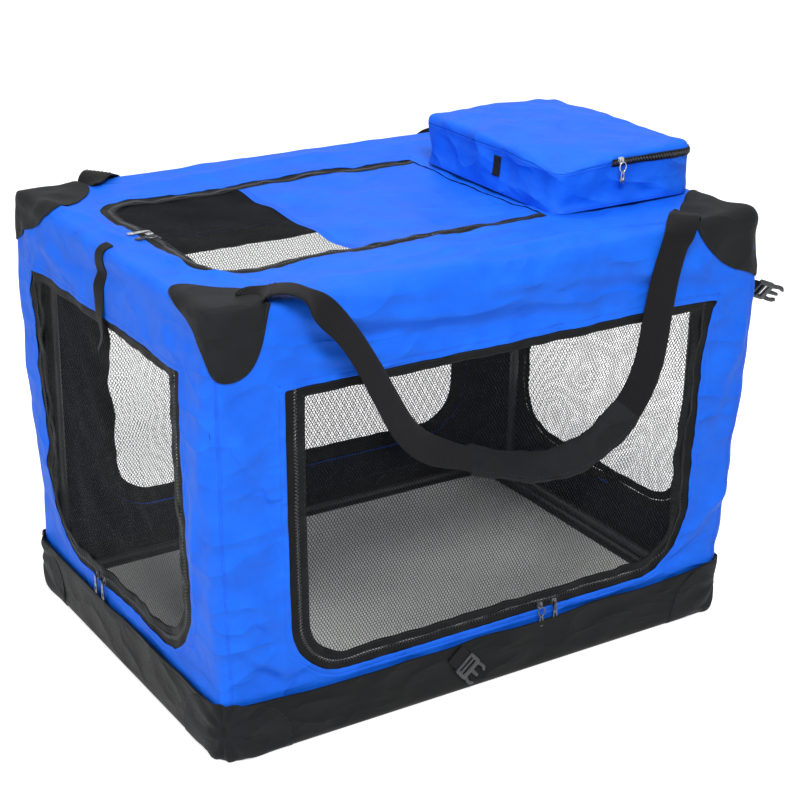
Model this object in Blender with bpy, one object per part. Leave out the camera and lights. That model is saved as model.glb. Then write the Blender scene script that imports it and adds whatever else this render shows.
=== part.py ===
"""Soft-sided folding cat carrier, in metres with +Z up. The front is at -Y and the floor at z = 0."""
import math

import bmesh
import bpy
from mathutils import Matrix, Vector

# Overall sizes
WIDTH = 0.700
DEPTH = 0.500
HEIGHT = 0.520

# Cloth, webbing and the gap that neighbours keep
CLOTH = 0.003
THIN = 0.002
GAP = 0.0003
WEBBING = 0.003

# Base tray
BAND_HEIGHT = 0.070
BAND_THICK = 0.003
BAND_RADIUS = 0.006
PATCH_THICK = 0.0012
WALL_TUCK = 0.038

# Floor board and mat
BOARD_THICK = 0.003
MAT_EDGE = 0.007
MAT_CROWN = 0.009
MAT_DRAW_IN = 0.006
MAT_CLEAR = 0.007
MAT_GRID = (22, 16)

# Steel frame
TUBE_R = 0.00635
TUBE_BEND = 0.024
TUBE_SETBACK = 0.0042
LEG_BEND = 0.040
LEFT_LEG_INSET = 0.048
RIGHT_LEG_INSET = 0.068
PIVOT_DROP = 0.020
COLLAR_WALL = 0.0035
COLLAR_R = TUBE_R + COLLAR_WALL
COLLAR_LENGTH = 0.0185
EAR_R = 0.0075
PIN_R = 0.0025
PIN_CLEAR = 0.0001
PIN_HEAD_R = 0.0040
PIN_HEAD = 0.0012

# Windows: what is left of the wall beside, under and over each
FRONT_SIDE_MARGIN = 0.072
FRONT_SHIFT = 0.016
FRONT_FOOT = 0.006
FRONT_TOP_MARGIN = 0.098
FRONT_RADIUS = 0.070
END_SIDE_MARGIN = 0.060
END_FOOT = 0.015
END_TOP_MARGIN = 0.080
END_RADIUS = 0.085
TOP_SIDE_MARGIN = 0.103
TOP_END_MARGIN = 0.050
TOP_RADIUS = 0.050
TAPE = 0.010
BINDING = 0.012
HINGE_CLEAR = 0.0015
FLAP_CLEAR = 0.0020
TOP_NET_LENGTH = 0.185

# Nets: gaps across and up, and the width of a bar
NET_BAR = 0.006
FRONT_NET = (11, 7)
END_NET = (7, 7)
TOP_NET = (6, 4)

# Sliders and their pulls
SLIDER = (0.007, 0.009)
SLIDER_PROUD = 0.0005
SLIDER_HEIGHT = CLOTH / 2 + BAND_THICK + SLIDER_PROUD - THIN / 2
SLIDER_SPREAD = 0.010
PULL = (0.007, 0.026, 0.0016)
PULL_SLOT = (0.003, 0.010)
PULL_END = 0.0005
SLIDER_NOSE = 0.7
PULL_NECK = 0.6
FRONT_SLIDER_U = 0.079
END_SLIDER_U = -0.056
TOP_SLIDER_U = 0.0

# Top pocket
POCKET_END_MARGIN = 0.006
POCKET_LENGTH = 0.206
POCKET_DEEP = 0.277
POCKET_HEIGHT = 0.060
POCKET_RADIUS = 0.020
POCKET_FIXED = 0.075
POCKET_DOOR_GAP = 0.010
POCKET_SIDE_GAP = 0.005
POCKET_SLIDER_IN = 0.017

# Top corner patches: along X, along Y and down
TOP_PATCH = (0.095, 0.085, 0.070)

# Handles: the loop as its share of the way between its two roots and its drop below the top
HANDLE_WIDTH = 0.038
HANDLE_SWELL = 0.022
HANDLE_ROOTS = (0.054, 0.104)
HANDLE_PIVOT_DROP = 0.0065
HANDLE_SHAPE = [
    (0.000, 0.0270), (0.055, 0.0275), (0.110, 0.0430), (0.187, 0.0830), (0.277, 0.1420), (0.382, 0.1980),
    (0.487, 0.2370), (0.604, 0.2560), (0.725, 0.2480), (0.830, 0.2120), (0.892, 0.1520), (0.938, 0.0900),
    (0.984, 0.0400), (1.000, 0.0080),
]
GRIP_SPAN = (0.44, 0.70)
GRIP_WALL = 0.004
GRIP_CLEAR = 0.0006

# Tie straps over the end doors
TIE_WIDTH = 0.018
TIE_LENGTH = 0.120
TIE_U = 0.030
TIE_STANDOFF = 0.0008

# Closing-strap buckles
STRAP_WIDTH = 0.025
STRAP_THICK = 0.0016
BUCKLE = (0.030, 0.034, 0.007)
BUCKLE_SLOT = (0.020, 0.004)
BUCKLE_BAR = 0.006
FRONT_BUCKLE_X = -0.038
FRONT_STRAP_DOWN = 0.010
FRONT_STRAP_DROP = 0.018
RIGHT_BUCKLE_IN = 0.032
RIGHT_STRAP_DOWN = 0.095
RIGHT_STRAP_REACH = 0.020
RIGHT_DROOP = math.radians(20)

# Finishes: colour, roughness, metallic
BLUE = ("blue_polyester", (0.020, 0.130, 0.830), 0.62, 0.0)
BLACK_CLOTH = ("black_polyester", (0.020, 0.021, 0.024), 0.70, 0.0)
BLACK_WEB = ("black_webbing", (0.016, 0.016, 0.018), 0.75, 0.0)
BLACK_MESH = ("black_mesh", (0.012, 0.012, 0.014), 0.60, 0.0)
FLEECE = ("grey_fleece", (0.520, 0.520, 0.500), 0.95, 0.0)
STEEL = ("grey_steel", (0.300, 0.310, 0.320), 0.40, 0.8)
PLASTIC = ("black_plastic", (0.015, 0.015, 0.016), 0.40, 0.0)
ZINC = ("zip_metal", (0.180, 0.180, 0.190), 0.35, 0.9)
BOARD = ("board", (0.080, 0.080, 0.085), 0.60, 0.0)

# Windows: half width, bottom, top, bottom corner radius and sideways shift
FRONT_WINDOW = (WIDTH / 2 - FRONT_SIDE_MARGIN, BAND_HEIGHT + FRONT_FOOT, HEIGHT - FRONT_TOP_MARGIN, FRONT_RADIUS,
                FRONT_SHIFT)
END_WINDOW = (DEPTH / 2 - END_SIDE_MARGIN, BAND_HEIGHT + END_FOOT, HEIGHT - END_TOP_MARGIN, END_RADIUS, 0)
POCKET_X = (WIDTH / 2 - POCKET_END_MARGIN - POCKET_LENGTH, WIDTH / 2 - POCKET_END_MARGIN)
TOP_WINDOW = (DEPTH / 2 - TOP_SIDE_MARGIN, TOP_END_MARGIN - WIDTH / 2, POCKET_X[0] - POCKET_DOOR_GAP, TOP_RADIUS, 0)
POCKET_Y = (-(TOP_WINDOW[0] + POCKET_SIDE_GAP), POCKET_DEEP - (TOP_WINDOW[0] + POCKET_SIDE_GAP))
POCKET_FLAP_X = POCKET_X[0] + POCKET_FIXED

# A side's own axes: u runs along it, v up it (towards the hinge on the top panel), and w outwards
WALL_MID = CLOTH / 2
SIDES = {
    "front": Matrix.Translation((0, -(DEPTH / 2 - WALL_MID), 0)) @ Matrix.Rotation(math.radians(90), 4, "X"),
    "top": Matrix.Translation((0, 0, HEIGHT - WALL_MID)) @ Matrix.Rotation(math.radians(-90), 4, "Z"),
}
SIDES["back"] = Matrix.Rotation(math.pi, 4, "Z") @ SIDES["front"]
END_FACE = Matrix.Translation((0, -(WIDTH / 2 - WALL_MID), 0)) @ Matrix.Rotation(math.radians(90), 4, "X")
SIDES["left"] = Matrix.Rotation(math.radians(-90), 4, "Z") @ END_FACE
SIDES["right"] = Matrix.Rotation(math.radians(90), 4, "Z") @ END_FACE

materials = {}


def clear_scene():
    """Remove every object that the file starts with."""
    for old in list(bpy.data.objects):
        bpy.data.objects.remove(old, do_unlink=True)


def material(finish):
    """The Principled material of a finish, made once."""
    name, colour, roughness, metallic = finish
    if name not in materials:
        made = bpy.data.materials.new(name)
        made.use_nodes = True
        shader = made.node_tree.nodes["Principled BSDF"]
        shader.inputs["Base Color"].default_value = (*colour, 1.0)
        shader.inputs["Roughness"].default_value = roughness
        shader.inputs["Metallic"].default_value = metallic
        made.diffuse_color = (*colour, 1.0)
        materials[name] = made
    return materials[name]


def add_object(name, bm, finish, frame=Matrix(), origin=(0, 0, 0), smooth=False):
    """An object from a bmesh drawn in a frame's axes, with its origin at a point of that frame."""
    bmesh.ops.translate(bm, verts=bm.verts, vec=-Vector(origin))
    bmesh.ops.recalc_face_normals(bm, faces=bm.faces)
    mesh = bpy.data.meshes.new(name)
    bm.to_mesh(mesh)
    bm.free()
    mesh.materials.append(material(finish))
    if smooth:
        mesh.shade_smooth()
        mesh.set_sharp_from_angle(angle=math.radians(35))
    made = bpy.data.objects.new(name, mesh)
    made.matrix_world = frame @ Matrix.Translation(origin)
    bpy.context.collection.objects.link(made)
    return made


def combine(target, bm, frame=Matrix(), operation="DIFFERENCE"):
    """Cut a closed bmesh, drawn in a frame's axes, out of an object, or add it to the object."""
    tool = add_object("cutter", bm, PLASTIC, frame)
    modifier = target.modifiers.new("combine", "BOOLEAN")
    modifier.operation = operation
    modifier.solver = "EXACT"
    modifier.object = tool
    bpy.context.view_layer.update()
    seen = target.evaluated_get(bpy.context.evaluated_depsgraph_get())
    mesh = bpy.data.meshes.new_from_object(seen)
    target.modifiers.clear()
    target.data = mesh
    bpy.data.objects.remove(tool, do_unlink=True)


def arc(centre, radius, start, end, steps):
    """Points on an arc, both ends included, angles in degrees."""
    out = []
    for i in range(steps + 1):
        angle = math.radians(start + (end - start) * i / steps)
        out.append((centre[0] + radius * math.cos(angle), centre[1] + radius * math.sin(angle)))
    return out


def rounded(x0, x1, y0, y1, radius, steps=5):
    """A rectangle with four round corners, anticlockwise."""
    points = arc((x1 - radius, y0 + radius), radius, -90, 0, steps)
    points += arc((x1 - radius, y1 - radius), radius, 0, 90, steps)
    points += arc((x0 + radius, y1 - radius), radius, 90, 180, steps)
    points += arc((x0 + radius, y0 + radius), radius, 180, 270, steps)
    return points


def window_outline(window, inset, top_inset=None, steps=7):
    """A window's outline drawn in by an inset: square at the top and round at the bottom."""
    half, bottom, top, radius, shift = window
    top_inset = inset if top_inset is None else top_inset
    r = radius - inset
    x = half - inset
    y = bottom + inset
    points = [(shift - x, top - top_inset)]
    points += arc((shift - x + r, y + r), r, 180, 270, steps)
    points += arc((shift + x - r, y + r), r, 270, 360, steps)
    points.append((shift + x, top - top_inset))
    return points


def clear_of_round_corner(window, inset, u, v):
    """Whether a point inside a window's straight edges is inside its round bottom corners too."""
    half, bottom, top, radius, shift = window
    r = radius - inset
    x = half - inset - r
    y = bottom + inset + r
    out = abs(u - shift)
    return out <= x or v >= y or math.hypot(out - x, v - y) <= r


def add_prism(bm, points, low, high):
    """Add an outline raised from one height to another."""
    under = [bm.verts.new((u, v, low)) for u, v in points]
    over = [bm.verts.new((u, v, high)) for u, v in points]
    bm.faces.new(list(reversed(under)))
    bm.faces.new(over)
    for i in range(len(points)):
        j = (i + 1) % len(points)
        bm.faces.new((under[i], under[j], over[j], over[i]))


def prism(points, low, high):
    """A bmesh that holds one raised outline."""
    bm = bmesh.new()
    add_prism(bm, points, low, high)
    return bm


def strip_plate(outer, inner, low, high, closed):
    """A flat strip between two outlines that have as many points each."""
    bm = bmesh.new()
    rings = []
    for points, z in ((outer, low), (outer, high), (inner, high), (inner, low)):
        rings.append([bm.verts.new((u, v, z)) for u, v in points])
    count = len(outer)
    for i in range(count if closed else count - 1):
        j = (i + 1) % count
        for a in range(4):
            b = (a + 1) % 4
            bm.faces.new((rings[a][i], rings[a][j], rings[b][j], rings[b][i]))
    if not closed:
        for i in (0, count - 1):
            bm.faces.new([ring[i] for ring in rings])
    return bm


def box(x0, x1, y0, y1, z0, z1):
    """A bmesh box."""
    return prism([(x0, y0), (x1, y0), (x1, y1), (x0, y1)], z0, z1)


def circle(radius, sides, centre=(0, 0)):
    """A circle's points."""
    step = 2 * math.pi / sides
    return [(centre[0] + radius * math.cos(i * step), centre[1] + radius * math.sin(i * step)) for i in range(sides)]


def sweep(path, across, section, closed=False, hollow=None):
    """Sweep a section along a path. Its first axis follows across(i), its second is square to that and the path."""
    bm = bmesh.new()
    count = len(path)

    def ring(points, i):
        before = path[i - 1] if i or closed else path[i]
        after = path[(i + 1) % count] if i < count - 1 or closed else path[i]
        along = (after - before).normalized()
        first = Vector(across(i)).normalized()
        first = (first - along * first.dot(along)).normalized()
        second = along.cross(first)
        return [bm.verts.new(path[i] + first * a + second * b) for a, b in points]

    def skin(rings):
        for i in range(count if closed else count - 1):
            j = (i + 1) % count
            for k in range(len(rings[i])):
                m = (k + 1) % len(rings[i])
                bm.faces.new((rings[i][k], rings[i][m], rings[j][m], rings[j][k]))

    rings = [ring(section, i) for i in range(count)]
    skin(rings)
    if hollow:
        cores = [ring(hollow, i) for i in range(count)]
        skin(cores)
        for i in (0, count - 1):
            for k in range(len(section)):
                m = (k + 1) % len(section)
                bm.faces.new((rings[i][k], rings[i][m], cores[i][m], cores[i][k]))
    elif not closed:
        bm.faces.new(rings[0])
        bm.faces.new(list(reversed(rings[-1])))
    return bm


def turned(profile, sides):
    """Turn a profile of (radius, height) points, closed at both ends on the axis, about Z."""
    bm = bmesh.new()
    low = bm.verts.new((0, 0, profile[0][1]))
    high = bm.verts.new((0, 0, profile[-1][1]))
    rings = []
    for radius, z in profile:
        rings.append([bm.verts.new((x, y, z)) for x, y in circle(radius, sides)])
    for i in range(sides):
        j = (i + 1) % sides
        bm.faces.new((low, rings[0][j], rings[0][i]))
        bm.faces.new((high, rings[-1][i], rings[-1][j]))
        for a in range(len(rings) - 1):
            bm.faces.new((rings[a][i], rings[a][j], rings[a + 1][j], rings[a + 1][i]))
    return bm


def smooth_path(points, per_span):
    """Points of a Catmull-Rom curve through the given points."""
    spots = [Vector(p) for p in points]
    spots = [2 * spots[0] - spots[1]] + spots + [2 * spots[-1] - spots[-2]]
    out = []
    for i in range(1, len(spots) - 2):
        a, b, c, d = spots[i - 1:i + 3]
        for k in range(per_span):
            t = k / per_span
            out.append(0.5 * (2 * b + (c - a) * t + (2 * a - 5 * b + 4 * c - d) * t * t
                              + (3 * b - a - 3 * c + d) * t * t * t))
    out.append(spots[-2])
    return out


# Values that several pieces share
FLOOR_TOP = CLOTH
TUBE_X = WIDTH / 2 - CLOTH - TUBE_SETBACK - TUBE_R
TUBE_Y = DEPTH / 2 - CLOTH - TUBE_SETBACK - TUBE_R
TOP_TUBE_Z = HEIGHT - CLOTH - TUBE_SETBACK - TUBE_R
BASE_TUBE_Z = FLOOR_TOP + GAP + TUBE_R
PIVOT_Z = TOP_TUBE_Z - PIVOT_DROP
BAR_Z = BASE_TUBE_Z + 2 * TUBE_R + GAP
LEFT_LEG_Y = DEPTH / 2 - LEFT_LEG_INSET
RIGHT_LEG_Y = DEPTH / 2 - RIGHT_LEG_INSET


def base_tray():
    """The sewn bottom sheet with its upright band."""
    reach = GAP + BAND_THICK
    x = WIDTH / 2 + reach
    y = DEPTH / 2 + reach
    made = add_object("base_tray", prism(rounded(-x, x, -y, y, BAND_RADIUS), 0, BAND_HEIGHT), BLACK_CLOTH)
    x -= BAND_THICK
    y -= BAND_THICK
    combine(made, box(-x, x, -y, y, FLOOR_TOP, BAND_HEIGHT + CLOTH))


def top_corner_patches():
    """Four black patches over the top corners, each a cap over three faces."""
    along, across, down = TOP_PATCH
    top = HEIGHT + GAP
    for row, sy in (("front", -1), ("back", 1)):
        for column, sx in (("left", -1), ("right", 1)):
            x = sx * (WIDTH / 2 + GAP)
            y = sy * (DEPTH / 2 + GAP)
            outer_x = sorted((x + sx * PATCH_THICK, x - sx * along))
            outer_y = sorted((y + sy * PATCH_THICK, y - sy * across))
            inner_x = sorted((x, x - sx * 2 * along))
            inner_y = sorted((y, y - sy * 2 * across))
            cap = add_object(f"top_corner_patch_{row}_{column}",
                             box(*outer_x, *outer_y, HEIGHT - down, top + PATCH_THICK), BLACK_CLOTH)
            combine(cap, box(*inner_x, *inner_y, HEIGHT - 2 * down, top))


def walls():
    """The four blue walls with their window openings."""
    low = BAND_HEIGHT - WALL_TUCK
    high = HEIGHT - CLOTH - GAP
    long_half = WIDTH / 2
    short_half = DEPTH / 2 - CLOTH - GAP
    for side, half, window in (("front", long_half, FRONT_WINDOW), ("back", long_half, FRONT_WINDOW),
                               ("left", short_half, END_WINDOW), ("right", short_half, END_WINDOW)):
        wall = add_object(side + "_wall", box(-half, half, low, high, -WALL_MID, WALL_MID), BLUE, SIDES[side])
        combine(wall, prism(window_outline(window, 0), -CLOTH, CLOTH), SIDES[side])


def top_panel():
    """The blue top with the opening for its door."""
    half_u = DEPTH / 2
    half_v = WIDTH / 2
    top = add_object("top_panel", box(-half_u, half_u, -half_v, half_v, -WALL_MID, WALL_MID), BLUE, SIDES["top"])
    combine(top, prism(window_outline(TOP_WINDOW, 0), -CLOTH, CLOTH), SIDES["top"])


def zip_tape(side, window):
    """The black tape along three sides of an opening."""
    outer = window_outline(window, GAP, TAPE)
    inner = window_outline(window, TAPE, TAPE)
    add_object(side + "_zip_tape", strip_plate(outer, inner, -THIN / 2, THIN / 2, False), BLACK_WEB, SIDES[side])


def net(name, side, points, window, inset, counts, span_v, origin):
    """A flat net with square gaps, in the outline that its points give."""
    left = min(u for u, v in points)
    right = max(u for u, v in points)
    made = add_object(name, prism(points, -THIN / 2, THIN / 2), BLACK_MESH, SIDES[side], origin)
    across, up = counts
    step_u = (right - left - NET_BAR) / across
    step_v = (span_v[1] - span_v[0] - NET_BAR) / up
    bm = bmesh.new()
    for i in range(across):
        for j in range(up):
            u0 = left + NET_BAR + i * step_u
            v0 = span_v[0] + NET_BAR + j * step_v
            u1 = u0 + step_u - NET_BAR
            v1 = v0 + step_v - NET_BAR
            corners = [(u0, v0), (u1, v0), (u1, v1), (u0, v1)]
            if all(clear_of_round_corner(window, inset + NET_BAR / 2, u, v) for u, v in corners):
                add_prism(bm, corners, -THIN, THIN)
    combine(made, bm, SIDES[side])


def mesh_door(side, window, counts, label):
    """A mesh panel in its binding. Its origin is on its hinge line, at the top of the opening."""
    bottom, top = window[1:3]
    edge = TAPE + GAP
    top_edge = HINGE_CLEAR
    origin = (0, top - top_edge, 0)
    outer = window_outline(window, edge, top_edge)
    inner = window_outline(window, edge + BINDING, top_edge + BINDING)
    add_object(label + "_binding", strip_plate(outer, inner, -THIN / 2, THIN / 2, True), BLACK_WEB,
               SIDES[side], origin)
    inset = edge + BINDING + GAP
    top_inset = top_edge + BINDING + GAP
    points = window_outline(window, inset, top_inset)
    net(label + "_mesh", side, points, window, inset, counts, (bottom + inset, top - top_inset), origin)


def back_window():
    """The mesh that is sewn into the back wall."""
    bottom, top = FRONT_WINDOW[1:3]
    points = window_outline(FRONT_WINDOW, GAP)
    net("back_window_mesh", "back", points, FRONT_WINDOW, GAP, FRONT_NET, (bottom + GAP, top - GAP), (0, top, 0))


def top_door():
    """The top door: net at its free end and blue cloth at its hinge."""
    half, bottom, top = TOP_WINDOW[:3]
    origin = (0, top - HINGE_CLEAR, 0)
    inset = TAPE + GAP
    side = half - inset
    seam = bottom + TOP_NET_LENGTH
    add_object("top_door_cloth", box(-side, side, seam, top - HINGE_CLEAR, -THIN / 2, THIN / 2), BLUE,
               SIDES["top"], origin)
    points = window_outline(TOP_WINDOW, inset, top - seam + GAP)
    net("top_door_mesh", "top", points, TOP_WINDOW, inset, TOP_NET, (bottom + inset, seam - GAP), origin)


def frame_ring(name, z):
    """A rectangle of bent tube."""
    outline = rounded(-TUBE_X, TUBE_X, -TUBE_Y, TUBE_Y, TUBE_BEND, 4)
    path = [Vector((x, y, z)) for x, y in outline]
    add_object(name, sweep(path, lambda i: (0, 0, 1), circle(TUBE_R, 10), True), STEEL, smooth=True)


def end_frame(name, sign, leg_y):
    """A U of bent tube that hangs from two pins under the top ring and stands on the base ring."""
    x = sign * TUBE_X
    path = [Vector((x, -leg_y, PIVOT_Z + TUBE_R)), Vector((x, -leg_y, PIVOT_Z - TUBE_R * 2))]
    for y, z in arc((-leg_y + LEG_BEND, BAR_Z + LEG_BEND), LEG_BEND, 180, 270, 5):
        path.append(Vector((x, y, z)))
    for y, z in arc((leg_y - LEG_BEND, BAR_Z + LEG_BEND), LEG_BEND, 270, 360, 5):
        path.append(Vector((x, y, z)))
    path += [Vector((x, leg_y, PIVOT_Z - TUBE_R * 2)), Vector((x, leg_y, PIVOT_Z + TUBE_R))]
    tube = sweep(path, lambda i: (1, 0, 0), circle(TUBE_R, 12))
    made = add_object(name, tube, STEEL, Matrix(), (x, 0, PIVOT_Z), smooth=True)
    hole = Matrix.Translation((x, 0, PIVOT_Z)) @ Matrix.Rotation(math.radians(90), 4, "X")
    combine(made, prism(circle(PIN_R + PIN_CLEAR, 20), -WIDTH, WIDTH), hole)


def frame_hinges():
    """Brackets that clip on the top ring, each with the riveted pin that carries an end frame's leg."""
    half = COLLAR_LENGTH / 2
    slot = TUBE_R + GAP
    outline = arc((0, 0), COLLAR_R, -20, 200, 12)
    outline += arc((0, -PIVOT_DROP), EAR_R, 200, 340, 8)
    profile = [(PIN_HEAD_R, -half - PIN_HEAD), (PIN_HEAD_R, -half + GAP), (PIN_R, -half + GAP),
               (PIN_R, half - GAP), (PIN_HEAD_R, half - GAP), (PIN_HEAD_R, half + PIN_HEAD)]
    for column, sign, leg_y in (("left", -1, LEFT_LEG_Y), ("right", 1, RIGHT_LEG_Y)):
        for row, sy in (("front", -1), ("back", 1)):
            at = Matrix.Translation((sign * TUBE_X, sy * leg_y, TOP_TUBE_Z)) @ Matrix.Rotation(math.radians(90), 4, "X")
            bracket = add_object(f"frame_hinge_{row}_{column}", prism(outline, -half, half), PLASTIC, at)
            combine(bracket, prism(circle(TUBE_R + GAP, 12), -2 * half, 2 * half), at)
            combine(bracket, box(-2 * COLLAR_R, 2 * COLLAR_R, -2 * PIVOT_DROP, -COLLAR_R, -slot, slot), at)
            combine(bracket, turned(profile, 20), at @ Matrix.Translation((0, -PIVOT_DROP, 0)), "UNION")


def floor_board():
    """The stiff board inside the base ring."""
    x = TUBE_X - TUBE_R - GAP
    y = TUBE_Y - TUBE_R - GAP
    low = FLOOR_TOP + GAP
    outline = rounded(-x, x, -y, y, TUBE_BEND - TUBE_R)
    add_object("floor_board", prism(outline, low, low + BOARD_THICK), BOARD)


def floor_mat():
    """The fleece mat: crowned, with its sides drawn in between the corners."""
    half_x = TUBE_X - TUBE_R - MAT_CLEAR
    half_y = TUBE_Y - TUBE_R - MAT_CLEAR
    low = FLOOR_TOP + GAP + BOARD_THICK + GAP
    nx, ny = MAT_GRID
    bm = bmesh.new()
    layers = []
    for top in (False, True):
        rows = []
        for j in range(ny + 1):
            b = 2 * j / ny - 1
            row = []
            for i in range(nx + 1):
                a = 2 * i / nx - 1
                x = a * (half_x - MAT_DRAW_IN * (1 - b * b))
                y = b * (half_y - MAT_DRAW_IN * (1 - a * a))
                crown = (1 - a * a) * (1 - b * b)
                z = low + (MAT_EDGE + MAT_CROWN * crown) * top
                row.append(bm.verts.new((x, y, z)))
            rows.append(row)
        layers.append(rows)
    for rows in layers:
        for j in range(ny):
            for i in range(nx):
                bm.faces.new((rows[j][i], rows[j][i + 1], rows[j + 1][i + 1], rows[j + 1][i]))
    under, over = layers
    rim = [(0, i) for i in range(nx)] + [(j, nx) for j in range(ny)]
    rim += [(ny, i) for i in range(nx, 0, -1)] + [(j, 0) for j in range(ny, 0, -1)]
    for k in range(len(rim)):
        (j0, i0), (j1, i1) = rim[k], rim[(k + 1) % len(rim)]
        bm.faces.new((under[j0][i0], under[j1][i1], over[j1][i1], over[j0][i0]))
    add_object("floor_mat", bm, FLEECE, smooth=True)


def pocket():
    """The top pocket: gusset with the fixed part of its top, and the flap that the zip frees."""
    x0, x1 = POCKET_X
    low = HEIGHT + GAP
    high = low + POCKET_HEIGHT
    y0, y1 = POCKET_Y
    outline = rounded(x0, x1, y0, y1, POCKET_RADIUS, 4)
    body = add_object("pocket_body", prism(outline, low, high), BLUE)
    inner = rounded(x0 + CLOTH, x1 - CLOTH, y0 + CLOTH, y1 - CLOTH, POCKET_RADIUS - CLOTH, 4)
    combine(body, prism(inner, low - CLOTH, high - CLOTH))
    deep = 2 * POCKET_DEEP
    combine(body, box(POCKET_FLAP_X, x1 + deep, -deep, deep, high - CLOTH - GAP, high + CLOTH))
    flap = add_object("pocket_flap", prism(outline, high - CLOTH, high), BLUE, Matrix(),
                      (POCKET_FLAP_X + FLAP_CLEAR, 0, high - CLOTH / 2))
    combine(flap, box(x0 - deep, POCKET_FLAP_X + FLAP_CLEAR, -deep, deep, low, high + CLOTH))


def slider(label, turn, u, v, w, fused=False):
    """A zip slider on an outer face, drawn in that face's axes, and the pull that hangs from it."""
    width, length = SLIDER
    top = w + SLIDER_HEIGHT
    half = width / 2
    end = length / 2
    nose = half * SLIDER_NOSE
    body = [(u - half, v - end), (u + half, v - end), (u + nose, v + end), (u - nose, v + end)]
    made = add_object(label + "_slider", prism(body, w, top), ZINC, turn, (u, v, w))
    wide, long, thick = PULL
    half = wide / 2
    base = top + (-GAP if fused else GAP)
    neck = half * PULL_NECK
    tag = [(u - neck, v + PULL_END), (u - half, v - long), (u + half, v - long), (u + neck, v + PULL_END)]
    slot_w, slot_l = PULL_SLOT
    low = v - long + slot_w
    hole = box(u - slot_w / 2, u + slot_w / 2, low, low + slot_l, base - thick, base + 2 * thick)
    pull = add_object(label + "_pull", prism(tag, base, base + thick), ZINC, turn, (u, v, base + thick / 2))
    combine(pull, hole, turn)
    if fused:
        bm = bmesh.new()
        bm.from_mesh(pull.data)
        bmesh.ops.translate(bm, verts=bm.verts, vec=(u, v, base + thick / 2))
        combine(made, bm, turn, "UNION")
        bpy.data.objects.remove(pull, do_unlink=True)


def sliders():
    """Two sliders at the foot of each door, but one on the right door, and one on the pocket."""
    on_tape = THIN / 2 + GAP
    for side, window, u in (("front", FRONT_WINDOW, FRONT_SLIDER_U), ("left", END_WINDOW, END_SLIDER_U),
                            ("top", TOP_WINDOW, TOP_SLIDER_U)):
        v = window[1] + TAPE / 2
        slider(side + "_door_a", SIDES[side], u - SLIDER_SPREAD, v, on_tape)
        slider(side + "_door_b", SIDES[side], u + SLIDER_SPREAD, v, on_tape)
    slider("right_door", SIDES["right"], -END_SLIDER_U, END_WINDOW[1] + TAPE / 2, on_tape, True)
    face = Matrix.Translation((0, POCKET_Y[0], 0)) @ Matrix.Rotation(math.radians(90), 4, "X")
    slider("pocket", face, POCKET_FLAP_X + POCKET_SLIDER_IN, HEIGHT + POCKET_HEIGHT - 2 * CLOTH, GAP)


def handle(prefix, turn):
    """A carrying handle: a webbing loop with a sleeve round its middle."""
    points = []
    left, right = HANDLE_ROOTS
    span = WIDTH - left - right
    pivot = HEIGHT - HANDLE_PIVOT_DROP
    deepest = max(drop for share, drop in HANDLE_SHAPE)
    face = -(DEPTH / 2 + GAP + PATCH_THICK + GAP + WEBBING / 2)
    for share, drop in HANDLE_SHAPE:
        swell = HANDLE_SWELL * (1 - math.cos(math.pi * drop / deepest)) / 2
        points.append((left - WIDTH / 2 + share * span, face - swell, HEIGHT - drop))
    path = smooth_path(points, 3)
    half = HANDLE_WIDTH / 2
    t = WEBBING / 2
    hinge = (0, face, pivot)
    flat = [(-t, -half), (t, -half), (t, half), (-t, half)]
    add_object(prefix + "_handle_strap", sweep(path, lambda i: (0, 1, 0), flat), BLACK_WEB, turn, hinge)
    first = round(GRIP_SPAN[0] * (len(path) - 1))
    last = round(GRIP_SPAN[1] * (len(path) - 1))
    t += GRIP_CLEAR
    half += GRIP_CLEAR
    hollow = [(-t, -half), (t, -half), (t, half), (-t, half)]
    t += GRIP_WALL
    half += GRIP_WALL
    outer = [(-t, -half), (t, -half), (t, half), (-t, half)]
    sleeve = sweep(path[first:last + 1], lambda i: (0, 1, 0), outer, False, hollow)
    add_object(prefix + "_handle_grip", sleeve, BLACK_CLOTH, turn, hinge)


def tie_strap(side, u):
    """A strap that hangs from the top edge over an end door."""
    w = WALL_MID + TIE_STANDOFF
    top = HEIGHT - 2 * CLOTH
    strap = box(u - TIE_WIDTH / 2, u + TIE_WIDTH / 2, top - TIE_LENGTH, top, w, w + THIN)
    add_object(side + "_tie_strap", strap, BLACK_WEB, SIDES[side], (u, top, w + THIN / 2))


def buckle_outline():
    """Half of a side-release buckle: a bar end and two prongs, hanging from the origin."""
    wide, long = BUCKLE[:2]
    half = wide / 2
    return [(-half, 0), (-half, -0.55 * long), (-half * 0.9, -long), (-half * 0.5, -long), (-half * 0.42, -0.5 * long),
            (half * 0.42, -0.5 * long), (half * 0.5, -long), (half * 0.9, -long), (half, -0.55 * long), (half, 0)]


def buckle(prefix, place, strap_length):
    """A short strap and a buckle half below it, drawn hanging from the place's origin."""
    half = STRAP_WIDTH / 2
    strap = box(-half, half, -strap_length, 0, -STRAP_THICK / 2, STRAP_THICK / 2)
    add_object(prefix + "_buckle_strap", strap, BLACK_WEB, place)
    thick = BUCKLE[2] / 2
    outline = [(u, v - strap_length - GAP) for u, v in buckle_outline()]
    made = add_object(prefix + "_buckle", prism(outline, -thick, thick), PLASTIC, place)
    wide, high = BUCKLE_SLOT
    v = -strap_length - GAP - BUCKLE_BAR
    combine(made, box(-wide / 2, wide / 2, v - high, v, -2 * thick, 2 * thick), place)


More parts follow.
